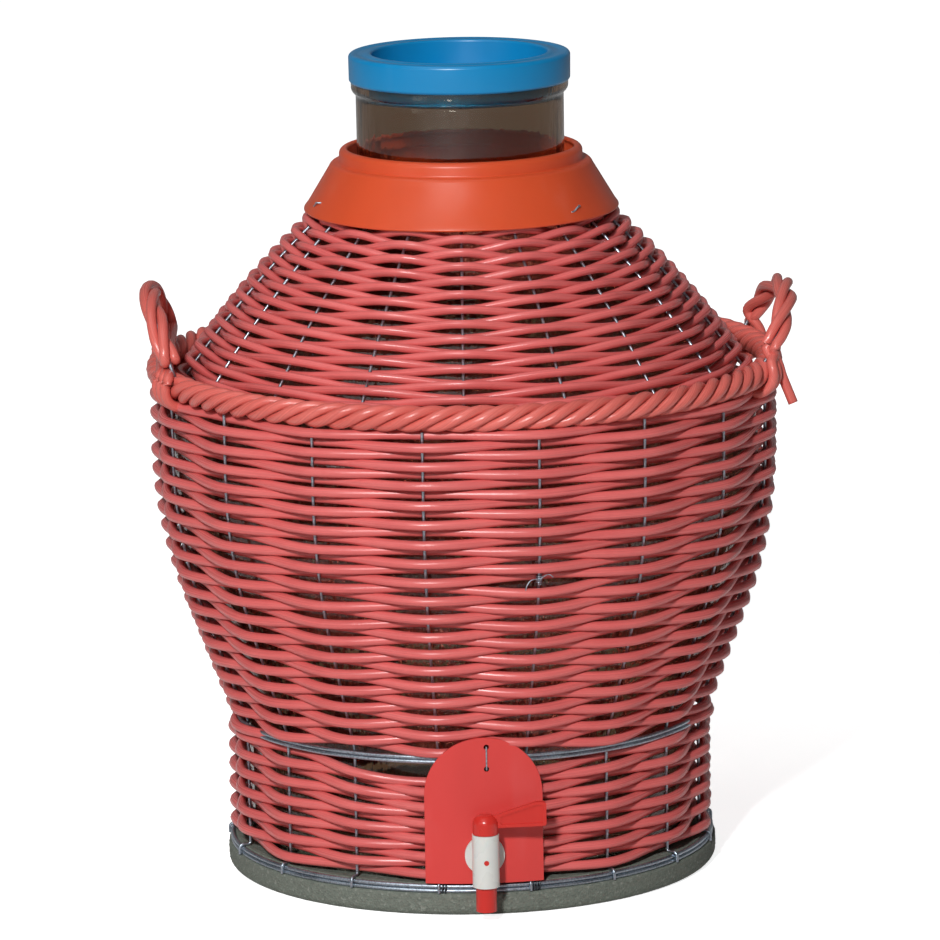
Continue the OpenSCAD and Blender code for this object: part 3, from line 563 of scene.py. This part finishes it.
def rows_between(start, end, pitch):
    """Number of whole rows between two lengths, and the pitch that spaces them evenly."""
    count = round((end - start) / pitch)
    return count, (end - start) / count


def foot_weave(sizes):
    """The rows under the waist. Rows at the tap's height stop at the bay beside it, and the rows
    left of the shield sag towards it."""
    line = Meridian(sizes).body
    start = sizes.pad_height + sizes.stake_wire + sizes.strand / 2 + 0.8 * MM
    end = sizes.waist_height - sizes.hoop_wire - sizes.strand / 2 - 0.3 * MM
    rows, pitch = rows_between(start, end, sizes.foot_pitch)

    def sag(s, azimuth):
        turn = np.degrees(wrapped(azimuth))
        left = window(turn, -46, -14, -4, 8)
        right = 0.3 * window(turn, 4, 12, 16, 36)
        return sizes.tap_sag * (left + right) * np.clip((s - start) / (end - start), 0, 1) ** 1.5

    heights = start + pitch * np.arange(rows + 1)
    cuts = [t * sizes.stakes for t, z in enumerate(heights) if abs(z - sizes.tap_height) < sizes.tap_bay]
    back = LAP * sizes.stakes
    firsts = [-back] + [c + 0.8 for c in cuts]
    lasts = [c + 0.2 for c in cuts] + [rows * sizes.stakes + back]
    turn = -math.pi / sizes.stakes
    bands = [woven_strand("band", sizes, line, start, pitch, a, b, turn, 11 + k, sag)
             for k, (a, b) in enumerate(zip(firsts, lasts))]
    return joined("woven_foot", bands)


def smooth_step(x):
    """A smooth step from 0 to 1."""
    x = np.clip(x, 0, 1)
    return x * x * (3 - 2 * x)


def window(x, start, full, fall, end):
    """0 up to start, 1 from full to fall and 0 again from end on."""
    return smooth_step((x - start) / (full - start)) * smooth_step((end - x) / (end - fall))


def waist_row(sizes):
    """The row that covers the waist hoop round the back and the sides. Its outside passes go
    over the hoop as well, and both of its ends lie inside a stake, where they don't show."""
    rng = np.random.default_rng(17)
    step = 2 * math.pi / sizes.stakes
    start, end = math.radians(52), math.radians(360 - 53)
    n = np.linspace(start / step, end / step, 120)
    azimuth = n * step
    outside = 0.5 - 0.5 * np.cos(np.pi * (n - 0.5))
    low = -(sizes.stake_wire + sizes.strand) / 2
    high = sizes.stake_wire / 2 + sizes.hoop_wire + sizes.strand / 2 + 0.2 * MM
    offset = low + (high - low) * outside + waves(n, rng, (3.7,), 0.2 * MM)
    height = sizes.waist_height + waves(n, rng, (2.9, 7.3), 0.8 * MM)
    centre = place(sizes.foot_radius + offset, height, azimuth)
    up = place(np.zeros_like(n), np.ones_like(n), azimuth)
    return tube_object("woven_waist", centre, up, sizes.strand / 2, sizes.strand * 0.47, 10)


def whole_band(name, sizes, line, start, end, pitch, turn, seed):
    """A band of whole rows between two lengths of a line."""
    rows, pitch = rows_between(start, end, pitch)
    back = LAP * sizes.stakes
    return woven_strand(name, sizes, line, start, pitch, -back, rows * sizes.stakes + back, turn, seed)


def belly_weave(sizes):
    """The rows from the waist to the border."""
    meridian = Meridian(sizes)
    start = meridian.bend + sizes.strand / 2 + 0.6 * MM
    top = sizes.border_height - sizes.border_rope - sizes.strand / 2 + 0.6 * MM
    end = meridian.curve_end + top - meridian.curve_height
    return whole_band("woven_belly", sizes, meridian.body, start, end, sizes.belly_pitch,
                      -math.pi / sizes.stakes, 21)


def shoulder_weave(sizes):
    """The rows from the border up to under the collar."""
    meridian = Meridian(sizes)
    end = meridian.shoulder_length(sizes.collar_height + 4 * MM)
    return whole_band("woven_shoulder", sizes, meridian.shoulder, 0.0, end, sizes.shoulder_pitch,
                      sizes.shoulder_turn, 31)


def shoulder_wires(sizes):
    """The upright wires of the shoulder, from under the border rope to under the collar."""
    meridian = Meridian(sizes)
    s = np.linspace(-4 * MM, meridian.shoulder_length(sizes.collar_height + 12 * MM), 28)
    radius, height, _ = meridian.shoulder(s)
    turns = sizes.shoulder_turn + np.arange(sizes.stakes) * 2 * math.pi / sizes.stakes
    return joined("shoulder_wires", [
        wire_tube("wire", place(radius, height, a), place(1.0, 0.0, np.full(len(s), a)),
                  sizes.stake_wire, 10) for a in turns])


def border_rope(sizes):
    """Four strands laid round the border's wire as helices: middle + coil (cos a u + sin a v),
    where a grows evenly along the wire. Each is round and a little flattened by its neighbours."""
    strands = 4
    t = np.linspace(0, 1, sizes.border_twists * 16, endpoint=False)
    azimuth = 2 * np.pi * t
    axis = place(sizes.belly_radius, sizes.border_height, azimuth)
    u = place(1.0, 0.0, azimuth)
    v = place(0.0, 1.0, azimuth)
    radius = sizes.rope_strand / 2
    coil = sizes.border_rope - radius
    pieces = []
    for k in range(strands):
        a = 2 * np.pi * (k / strands + sizes.border_twists * t)
        out = np.cos(a)[:, None] * u + np.sin(a)[:, None] * v
        pieces.append(tube_object("strand", axis + coil * out, out, radius, radius * 0.97, 12, True))
    return joined("border_rope", pieces)


def handle_shape(sizes, side):
    """Height, lean and tilt of a handle. side is 1 for the right handle and -1 for the left."""
    right = (sizes.handle_height, sizes.handle_lean)
    rise, lean = right if side > 0 else (sizes.left_height, sizes.left_lean)
    return rise, lean, math.atan(lean / rise)


def handle_line(sizes, side, t):
    """Middle line of a handle, t from 0 to pi over the arch: half an ellipse that leans out and
    stands square on the border."""
    rise, lean, tilt = handle_shape(sizes, side)
    half = sizes.handle_span / 2
    foot = math.sqrt(sizes.belly_radius ** 2 - half ** 2)
    seat = sizes.border_rope + 1.6 * MM
    x = foot + seat * math.sin(tilt) + lean * np.sin(t)
    z = sizes.border_height + seat * math.cos(tilt) + rise * np.sin(t)
    return np.stack([side * x, -side * half * np.cos(t), z], axis=1)


def smoothed(points, spacing, width):
    """A path sampled evenly and smoothed by a Gaussian of a width; its ends stay."""
    along = path_lengths(points)
    even = np.linspace(0, along[-1], int(along[-1] / spacing) + 1)
    path = np.stack([np.interp(even, along, points[:, k]) for k in range(3)], axis=1)
    reach = int(4 * width / spacing)
    weights = np.exp(-0.5 * (np.arange(-reach, reach + 1) * spacing / width) ** 2)
    weights /= weights.sum()
    padded = np.vstack([2 * path[0] - path[reach:0:-1], path, 2 * path[-1] - path[-2:-reach - 2:-1]])
    return np.stack([np.convolve(padded[:, k], weights, mode="valid") for k in range(3)], axis=1)


def border_wrap(sizes, side, end, shift, start, stop):
    """Points round the border rope at one foot of a handle, from an angle above the outside to
    an angle under it. end is -1 for the foot where t is 0 and 1 for the other."""
    foot = math.asin(sizes.handle_span / 2 / sizes.belly_radius)
    coil = sizes.border_rope + sizes.rope_strand / 2 + 0.4 * MM
    a = np.radians(np.linspace(start, stop, 16))
    azimuth = side * (math.pi / 2 + end * foot) + (shift + 1.5 * MM * (a - a[0])) / sizes.belly_radius
    return place(sizes.belly_radius + coil * np.cos(a), sizes.border_height + coil * np.sin(a), azimuth)


def handle_rope(sizes, side, name):
    """Three strands laid loosely round the handle's wire. At each foot they fan out and wrap
    round the border rope; on the right one end at the front stays loose."""
    rng = np.random.default_rng(50 + side)
    _, _, tilt = handle_shape(sizes, side)
    inset = 0.16
    t = np.linspace(inset, math.pi - inset, 60)
    axis = handle_line(sizes, side, t)
    u, v = square_frame(axis, np.array([side * math.cos(tilt), 0, -math.sin(tilt)]))
    radius = sizes.rope_strand / 2
    pieces = []
    for k in range(3):
        a = 2 * np.pi * (k / 3 + sizes.handle_twists * t / math.pi)
        slack = waves(t * 12, rng, (7.0, 17.0), 0.25 * MM)
        coil = radius + 0.7 * MM + 0.5 * MM * np.cos(t) ** 2 + slack
        arch = axis + coil[:, None] * (np.cos(a)[:, None] * u + np.sin(a)[:, None] * v)
        shift = (k - 1) * 8.4 * MM
        first = border_wrap(sizes, side, -1, shift, 40, -165 + 25 * k)[::-1]
        last = border_wrap(sizes, side, 1, shift, 40, -140 - 20 * k)
        if side > 0 and k == 2:
            front = first[::-1][:5]
            droop = np.array([9, -4, -23]) * MM
            down = front[-1] + np.outer(np.linspace(0.12, 1, 8), droop)
            first = np.vstack([front, down])[::-1]
        path = smoothed(np.vstack([first, arch, last]), 2.2 * MM, 3.6 * MM)
        up, _ = square_frame(path, np.array([0.3, 0.2, 1.0]))
        pieces.append(tube_object("strand", path, up, radius, radius * 0.97, 12))
    return joined(name, pieces)


def handle_wire(sizes, side, name):
    """The wire inside a handle."""
    axis = handle_line(sizes, side, np.linspace(math.radians(-9), math.radians(189), 60))
    u, _ = square_frame(axis, np.array([side, 0.0, 0.0]))
    return wire_tube(name, axis, u, sizes.hoop_wire, 10)


def splice(sizes):
    """Thin wire wound as a helix round the upright to the right of the tap where its rows part.
    Its ends stand off, and two loose ends curl away on both sides."""
    meridian = Meridian(sizes)
    radius, height, lean = (float(a) for a in meridian.body(np.array(sizes.splice_height)))
    azimuth = math.pi / sizes.stakes
    direction = place(math.sin(lean), math.cos(lean), azimuth)
    u = place(math.cos(lean), -math.sin(lean), azimuth)
    v = np.cross(direction, u)
    point = place(radius, height, azimuth)
    wire, pitch, turns = 0.9 * MM, 1.5 * MM, 4.6
    a = np.linspace(0, 2 * np.pi * turns, int(turns * 20))
    lift = (sizes.stake_wire / 2 + wire + wire * np.exp(-a / 0.5)
            + 1.6 * MM * np.exp(-(a[-1] - a) / 0.4))
    middle = point + np.outer((a / (2 * np.pi) - turns / 2) * pitch, direction)
    out = np.cos(a)[:, None] * u + np.sin(a)[:, None] * v
    winding = wire_tube("winding", middle + lift[:, None] * out, out, wire)
    ends = []
    for side, reach, rise in ((1, 9 * MM, 6 * MM), (-1, 11 * MM, -5 * MM)):
        a = np.linspace(0, 1, 24)[:, None]
        curl = (point + u * (2.4 * MM + 3.4 * MM * a) + v * side * reach * np.sin(1.9 * a)
                + direction * (rise * a + 2.4 * MM * np.sin(5.2 * a)))
        up, _ = square_frame(curl, u)
        ends.append(wire_tube("end", curl, up, 0.8 * MM))
    return joined("stake_winding", [winding, *ends])


def collar_stitches(sizes):
    """Short bent wires that hold the collar, each out through one hole and in through the next
    one beside it."""
    low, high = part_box("collar_ties")
    middle = (low[2] + high[2]) / 2
    pieces = []
    for k in range(3):
        turn = math.radians(-75 + 120 * k)
        a = np.linspace(-1, 1, 26)
        out = collar_radius(sizes, middle) + 1.3 * MM - 3.2 * MM * np.maximum(np.abs(a) - 0.72, 0) / 0.28
        height = middle + 1.6 * MM * a + 0.9 * MM * np.sin(3.2 * a)
        azimuth = turn + a * 6.0 * MM / out
        up = place(np.zeros_like(a), np.ones_like(a), azimuth)
        pieces.append(wire_tube("stitch", place(out, height, azimuth), up, 1.3 * MM))
    return joined("collar_stitches", pieces)


def ring_windings():
    """Dark wire wound in two places round both foot ring wires."""
    low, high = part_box("base_ring")
    middle = (low[2] + high[2]) / 2
    pieces = []
    for azimuth, turns in ((-9.5, 2.6), (12.0, 3.6)):
        turn = math.radians(azimuth)
        a = np.linspace(0.3 * math.pi, 2 * np.pi * turns, int(turns * 24))
        radius = high[0] - 1.6 * MM
        along = turn + (a - a.mean()) / (2 * np.pi) * 2.2 * MM / radius
        centre = place(radius + 2.5 * MM * np.cos(a), middle + 4.1 * MM * np.sin(a), along)
        out = place(np.cos(a), np.sin(a), along)
        pieces.append(wire_tube("winding", centre, out, 1.6 * MM))
    return joined("ring_windings", pieces)


def crumbly_pad():
    """The pad as a turned form whose skin is displaced by seeded crumbs of granulate."""
    _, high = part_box("base_pad")
    ring_low, ring_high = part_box("base_ring")
    radius = high[0]
    soft = 6 * MM
    ledge = ring_low[2] - 0.2 * MM
    seat = ring_high[0] - 3.5 * MM
    wall = np.linspace(soft, ledge, 8)[1:-1]
    profile = ([(0.5 * MM, 0.3 * MM), (radius - soft, 0.3 * MM)]
               + arc((radius - soft, soft + 0.3 * MM), soft, -80, 0, 8)
               + [(radius, z) for z in wall] + [(radius - 0.6 * MM, ledge), (seat, ledge)]
               + [(seat, ledge + 3 * MM), (seat, high[2]), (seat - 1.5 * MM, high[2])]
               + [(0.5 * MM, high[2])])
    rng = np.random.default_rng(61)
    crumbs = rng.uniform(-1, 1, (len(profile), 900))
    crumbs = (crumbs + np.roll(crumbs, 1, axis=1) + np.roll(crumbs, -1, axis=1)) / 3
    crumbs *= (np.array(profile)[:, :1] > radius * 0.9)
    drop = np.where(np.array(profile)[:, 1:] > 1 * MM, 1.0, 0.0)

    def wobble(azimuth, radii, heights):
        return 0.55 * MM * (crumbs - 0.6), 0.3 * MM * crumbs * drop

    return lathe_object("granulate_pad", profile, 900, wobble)


# ---------------------------------------------------------------- collar, glass and lid

def collar_section(sizes):
    """Outside of the collar from its lip up: flared lip, slope, rounded step and ring."""
    _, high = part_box("shoulder_collar")
    base = sizes.collar_height
    lip = sizes.collar_lip
    step = base + 36.5 * MM
    top = high[2]
    return ([(lip - 1.0 * MM, base), (lip, base + 0.8 * MM), (lip - 0.3 * MM, base + 1.8 * MM)]
            + [(lip - 2.6 * MM, base + 5.0 * MM), (lip - 4.0 * MM, base + 7.4 * MM)]
            + arc((94.5 * MM, step - 5 * MM), 5 * MM, 18, 78, 8)
            + arc((93.4 * MM, step + 1.4 * MM), 1.8 * MM, 250, 185, 4)
            + arc((87.2 * MM, top - 4.4 * MM), 4.4 * MM, 8, 84, 8))


def collar_radius(sizes, height):
    """Outer radius of the collar's slope at a height, between the lip and the rounded step."""
    radius, z = zip(*collar_section(sizes)[4:8])
    return float(np.interp(height, z, radius))


def collar(sizes):
    """The collar turned from its section, with a slightly uneven lip from use."""
    wall = 2.4 * MM
    base = sizes.collar_height
    outside = collar_section(sizes)
    top = outside[-1][1]
    inside = [(r - wall * 0.8, z - wall * 0.7) for r, z in outside[3:]][::-1]
    inside = [p for p in inside if p[1] < top - wall]
    mouth = [(86.2 * MM, top), (85.2 * MM, top - 1.4 * MM), (85.2 * MM, top - wall)]
    profile = outside + mouth + inside + [(outside[1][0] - wall, base)]

    def wobble(azimuth, radii, heights):
        wave = np.sin(3 * azimuth + 0.7) + 0.6 * np.sin(7 * azimuth + 2.0) + 0.4 * np.sin(13 * azimuth)
        near_lip = np.clip((base + 12 * MM - heights) / (12 * MM), 0, 1)
        return 0.35 * MM * wave * near_lip, 0.25 * MM * wave * near_lip

    return lathe_object("collar_shell", profile, 240, wobble, closed=True)


def glass_profile(sizes, w):
    """Section of the glass moved inwards by w: heel, foot, hollow waist, flare, belly, shoulder
    and neck, with arcs that touch one another. A last ring just above the neck's curve keeps the
    neck's wall straight to the light, so that it doesn't bend the view like a lens."""
    meridian = Meridian(sizes)
    inset = 8.26 * MM + w
    foot = sizes.foot_radius - inset
    belly = sizes.belly_radius - inset - 0.7 * MM
    heel = 11 * MM - w / 2
    hollow = 50 * MM - w
    flare = math.degrees(sizes.flare)
    corner = meridian.bend + inset * math.tan(sizes.flare / 2)
    shoulder = 60 * MM - w
    big = sizes.shoulder_curve - inset
    hub = meridian.hub
    shoulder_r = belly - shoulder
    shoulder_z = hub[1] + math.sqrt((big - shoulder) ** 2 - (shoulder_r - hub[0]) ** 2)
    join = math.degrees(math.atan2(shoulder_z - hub[1], shoulder_r - hub[0]))
    neck = NECK_RADIUS - w
    soft = 24 * MM + w
    neck_z = hub[1] + math.sqrt((big + soft) ** 2 - (neck + soft - hub[0]) ** 2)
    leave = math.degrees(math.atan2(neck_z - hub[1], neck + soft - hub[0]))
    curve = sizes.flare_round
    return ([(0.5 * MM, sizes.pad_height + w)]
            + arc((foot - heel, sizes.pad_height + w + heel), heel, -90, 0, 12)
            + arc((foot + hollow, corner - hollow * math.tan(sizes.flare / 2)), hollow, 180, 180 - flare, 10)
            + arc((belly - curve + inset, meridian.curve_height), curve - inset, -flare, 0, 24)
            + arc((shoulder_r, shoulder_z), shoulder, 0, join, 20)
            + arc(hub, big, join + 1, leave - 0.6, 18)
            + arc((neck + soft, neck_z), soft, 180 + leave, 180, 14)
            + [(neck, neck_z + 2 * MM)])


def glass(sizes):
    """The vessel: outer section, thick rounded lip, and the inner section back down."""
    _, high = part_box("glass_vessel")
    mouth = high[2]
    lip = mouth - 27 * MM
    bead_radius = 81.5 * MM
    bore = 70 * MM
    inside = NECK_RADIUS - GLASS_WALL
    soft = 6 * MM
    rim = 2.5 * MM
    bead = ([(NECK_RADIUS, lip - 2.5 * MM), (NECK_RADIUS, lip - 0.5 * MM)]
            + arc((bead_radius - soft, lip + soft), soft, -58, 0, 10)
            + arc((bead_radius - rim, mouth - rim), rim, 0, 90, 8)
            + arc((bore + rim, mouth - rim), rim, 90, 180, 8)
            + [(bore, lip + 4 * MM), (inside, lip - 4 * MM), (inside, lip - 6 * MM)])
    outer = glass_profile(sizes, 0.0)
    inner = glass_profile(sizes, GLASS_WALL)[::-1]

    def wobble(azimuth, radii, heights):
        wave = np.sin(2 * azimuth + 40 * heights) + 0.7 * np.sin(3 * azimuth - 55 * heights)
        return 0.12 * MM * wave * np.minimum(radii / 0.07, 1), 0 * radii

    return lathe_object("glass_body", outer + bead + inner, 256, wobble)


def lid():
    """The press-on lid: skirt with a beaded edge, flat rim with a shallow groove, and a deep
    recess whose wall plugs the mouth."""
    low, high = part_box("mouth_lid")
    top, base, out = high[2], low[2], high[0]
    skirt = top - 21.5 * MM
    plug = 69.6 * MM
    recess = 66 * MM
    inner = out - 1.5 * MM
    profile = ([(0.5 * MM, base), (plug - 1.5 * MM, base), (plug, base + 2.5 * MM)]
               + [(plug + b * MM, base + 7 * MM + h * MM) for h, b in
                  ((0, 0), (1, 0.3), (2, 0), (5, 0), (6, 0.3), (7, 0))]
               + [(plug, top - 3.8 * MM), (inner, top - 3.8 * MM), (inner, skirt + 0.3 * MM)]
               + [(inner + 0.2 * MM, skirt), (out - 1.2 * MM, skirt)]
               + arc((out - 2.1 * MM, skirt + 2.0 * MM), 1.9 * MM, -60, 0, 5)
               + arc((out - 3.2 * MM, top - 3.2 * MM), 3.2 * MM, 0, 80, 8)
               + [(out - 6 * MM, top - 0.3 * MM), (out - 6.6 * MM, top - 0.7 * MM)]
               + [(recess + 5.6 * MM, top - 0.7 * MM), (recess + 5 * MM, top - 0.1 * MM)]
               + arc((recess + 1.8 * MM, top - 1.8 * MM), 1.8 * MM, 85, 180, 6)
               + arc((recess - 3 * MM, top - 25 * MM), 3 * MM, 0, -90, 6)
               + [(20 * MM, top - 28 * MM), (19 * MM, top - 27.3 * MM), (0.5 * MM, top - 27.3 * MM)])

    def wobble(azimuth, radii, heights):
        wave = np.sin(2 * azimuth + 1) + 0.5 * np.sin(5 * azimuth)
        return 0.12 * MM * wave * (radii > 60 * MM), 0 * radii

    return lathe_object("lid_shell", profile, 240, wobble)


# ---------------------------------------------------------------- operators

def settings():
    """The scene's sizes and colours."""
    scene = bpy.context.scene
    return scene.carboy_sizes, scene.carboy_colours


class MakeWeave(bpy.types.Operator):
    """Weave the three bands of strand round the basket's wires"""
    bl_idname = "carboy.weave"
    bl_label = "Woven bands"

    def execute(self, context):
        sizes, colours = settings()
        material = strand_material("extruded_soft_pvc_strand", colours.strand)
        for make, node in ((foot_weave, "weave_foot"), (belly_weave, "weave_belly"),
                           (shoulder_weave, "weave_shoulder")):
            finish_piece(make(sizes), "vessel", material, "strand", node)
        finish_piece(waist_row(sizes), "vessel", material, "strand")
        return {"FINISHED"}


class MakeRopes(bpy.types.Operator):
    """Lay the border rope and both handles"""
    bl_idname = "carboy.ropes"
    bl_label = "Ropes and handles"

    def execute(self, context):
        sizes, colours = settings()
        material = strand_material("twisted_soft_pvc_rope", colours.rope)
        wire = wire_material("galvanised_steel_wire", colours.wire)
        finish_piece(border_rope(sizes), "vessel", material, "strand", "border_braid")
        for side, word in ((1, "right"), (-1, "left")):
            finish_piece(handle_rope(sizes, side, "rope_" + word), "vessel", material, "strand",
                         "handle_" + word)
            finish_piece(handle_wire(sizes, side, "core_" + word), "vessel", wire, "wire",
                         "handle_core_" + word)
        return {"FINISHED"}


class MakeWires(bpy.types.Operator):
    """Finish the wire frame and wind the thin wires round it"""
    bl_idname = "carboy.wires"
    bl_label = "Wire frame"

    def execute(self, context):
        sizes, colours = settings()
        wire = wire_material("galvanised_steel_wire", colours.wire)
        bright = wire_material("thin_tinned_tie_wire", shade(colours.wire, 1.2))
        dark = wire_material("annealed_black_wire", shade(colours.wire, 0.22))
        for node in ("base_ring", "body_stakes", "waist_hoop", "border_hoop", "collar_hoop"):
            finish_node(node, wire)
        finish_node("shield_tie", bright)
        finish_piece(shoulder_wires(sizes), "vessel", wire, "wire", "shoulder_stakes")
        finish_piece(collar_stitches(sizes), "vessel", bright, "wire", "collar_ties")
        finish_piece(splice(sizes), "vessel", bright, "wire", "stake_splice")
        finish_piece(ring_windings(), "vessel", dark, "wire")
        return {"FINISHED"}


class MakePad(bpy.types.Operator):
    """Make the granulate pad under the basket"""
    bl_idname = "carboy.pad"
    bl_label = "Base pad"

    def execute(self, context):
        _, colours = settings()
        material = granulate_material("pressed_rubber_granulate", colours.pad)
        finish_piece(crumbly_pad(), "vessel", material, "pad", "base_pad")
        return {"FINISHED"}


class MakeVessel(bpy.types.Operator):
    """Make the glass, the collar over its shoulder and the lid on its mouth"""
    bl_idname = "carboy.vessel"
    bl_label = "Glass, collar and lid"

    def execute(self, context):
        sizes, colours = settings()
        finish_piece(glass(sizes), "vessel", glass_material("smoky_bottle_glass", colours.glass),
                     "glass", "glass_vessel")
        finish_piece(collar(sizes), "vessel",
                     moulded_material("moulded_polyethylene_collar", colours.collar, 0.36, 500.0, 0.15),
                     "collar", "shoulder_collar")
        finish_piece(lid(), "lid",
                     moulded_material("moulded_polyethylene_lid", colours.lid, 0.32, 600.0, 0.05),
                     "lid", "mouth_lid")
        return {"FINISHED"}


class MakeTap(bpy.types.Operator):
    """Finish the tap, its gaskets and the shield"""
    bl_idname = "carboy.tap"
    bl_label = "Tap and shield"

    def execute(self, context):
        _, colours = settings()
        white = moulded_material("moulded_white_polypropylene", colours.tap_white, 0.3, 700.0, 0.1)
        red = moulded_material("moulded_red_polypropylene", colours.tap_red, 0.3, 700.0)
        sheet = moulded_material("pressed_red_plastic_sheet", colours.shield, 0.38, 380.0)
        rubber = moulded_material("moulded_black_rubber", colours.rubber, 0.6, 900.0)
        for node, material in (("tap_body", white), ("tap_nut", white), ("tap_plug", red),
                               ("index_dot", red), ("tap_shield", sheet),
                               ("gasket_outer", rubber), ("gasket_inner", rubber)):
            finish_node(node, material)
        return {"FINISHED"}


def finish_node(name, material):
    """Gives a CAD node its material and smooths its round sides."""
    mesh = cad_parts[name].data
    dress(mesh, material)
    smooth(mesh)


class MakeStudio(bpy.types.Operator):
    """Set up the floor, the soft lights and the camera"""
    bl_idname = "carboy.studio"
    bl_label = "Studio"

    def execute(self, context):
        _, colours = settings()
        add_floor(colours)
        add_world()
        add_light("key_softbox", (-1.2, -4.3, 2.7), (0, 0, 0.32), 0.42, 0.42, 190.0)
        add_light("left_strip", (-2.8, -2.0, 1.4), (0, 0, 0.35), 0.7, 1.8, 6.0)
        add_light("top_softbox", (-0.7, -0.6, 3.2), (0, 0, 0.3), 2.2, 2.2, 17.0)
        add_camera()
        context.scene.view_settings.view_transform = "Standard"
        return {"FINISHED"}


def add_floor(colours):
    """A wide pale floor that rises behind the object in one sweep."""
    half, bend, radius, top = 12.0, 5.0, 3.0, 9.0
    turn = np.linspace(0, np.pi / 2, 25)[1:]
    y = [*np.linspace(-half, bend, 18), *(bend + radius * np.sin(turn)), bend + radius]
    z = [*np.zeros(18), *(radius - radius * np.cos(turn)), top]
    count = len(y)
    verts = [(x, a, b) for x in (-half, half) for a, b in zip(y, z)]
    faces = [(i, count + i, count + i + 1, i + 1) for i in range(count - 1)]
    mesh = bpy.data.meshes.new("studio_floor")
    mesh.from_pydata(verts, [], faces)
    smooth(mesh)
    dress(mesh, floor_material("pale_matt_paper", colours.floor))
    linked("studio_floor", mesh)


def add_world():
    """White where the camera looks past the floor, a dark brown room where it looks through the
    glass, and soft grey for light and reflections."""
    world = bpy.data.worlds.new("studio_world")
    bpy.context.scene.world = world
    n = Nodes(world)
    rays = n.add("LightPath").outputs
    seen, soft, through = (
        n.add("Background", {"Color": (*rgb, 1), "Strength": strength}).outputs[0]
        for rgb, strength in (((1, 1, 1), 1.0), ((0.8, 0.85, 0.9), 0.08), (ROOM, 1.0)))
    plain = n.add("MixShader", {0: rays["Is Camera Ray"], 1: soft, 2: seen}).outputs[0]
    mixed = n.add("MixShader", {0: rays["Is Transmission Ray"], 1: plain, 2: through}).outputs[0]
    n.add("OutputWorld", {"Surface": mixed})


def aim(thing, target):
    """Turns an object at a place so that its -Z looks at a target."""
    direction = Vector(target) - thing.location
    thing.rotation_mode = "QUATERNION"
    thing.rotation_quaternion = direction.to_track_quat("-Z", "Y")


def add_light(name, location, target, width, height, power):
    """A rectangular soft light of a power in watts."""
    data = bpy.data.lights.new(name, "AREA")
    data.shape = "RECTANGLE"
    data.size = width
    data.size_y = height
    data.energy = power
    light = linked(name, data)
    light.location = location
    aim(light, target)


def add_camera():
    """A long lens from a little above, turned slightly to the left of the tap."""
    data = bpy.data.cameras.new("camera")
    data.sensor_width = 36.0
    data.lens = 257.4
    data.clip_end = 60.0
    camera = linked("camera", data)
    turn, tilt, roll = (math.radians(a) for a in (-2.75, 11.31, -0.96))
    distance, height, side = 5.0, 1.30, 0.003
    camera.location = (distance * math.sin(turn), -distance * math.cos(turn), height)
    drop = distance * math.tan(tilt)
    aim(camera, (side * math.cos(turn), side * math.sin(turn), height - drop))
    camera.rotation_quaternion = camera.rotation_quaternion @ Quaternion((0, 0, 1), roll)
    bpy.context.scene.camera = camera


class CarboyPanel(bpy.types.Panel):
    """Buttons for each group of pieces and the sizes they are made from"""
    bl_idname = "VIEW3D_PT_carboy"
    bl_label = "Woven carboy"
    bl_space_type = "VIEW_3D"
    bl_region_type = "UI"
    bl_category = "Carboy"

    def draw(self, context):
        for maker in MAKERS:
            self.layout.operator(maker.bl_idname)
        for group, title in ((context.scene.carboy_sizes, "Sizes"),
                             (context.scene.carboy_colours, "Colours")):
            box = self.layout.box()
            box.label(text=title)
            for name in group.__annotations__:
                box.prop(group, name)


MAKERS = (MakeWires, MakeWeave, MakeRopes, MakePad, MakeVessel, MakeTap, MakeStudio)
CLASSES = (BasketSizes, CarboyColours, *MAKERS, CarboyPanel)


def register():
    """Adds the classes and the scene's settings."""
    for cls in CLASSES:
        bpy.utils.register_class(cls)
    bpy.types.Scene.carboy_sizes = bpy.props.PointerProperty(type=BasketSizes)
    bpy.types.Scene.carboy_colours = bpy.props.PointerProperty(type=CarboyColours)


def unregister():
    """Removes what register() added."""
    del bpy.types.Scene.carboy_colours
    del bpy.types.Scene.carboy_sizes
    for cls in reversed(CLASSES):
        bpy.utils.unregister_class(cls)


def main():
    register()
    bpy.ops.carboy.wires()
    bpy.ops.carboy.weave()
    bpy.ops.carboy.ropes()
    bpy.ops.carboy.pad()
    bpy.ops.carboy.vessel()
    bpy.ops.carboy.tap()
    bpy.ops.carboy.studio()


if __name__ == "__main__":
    main()
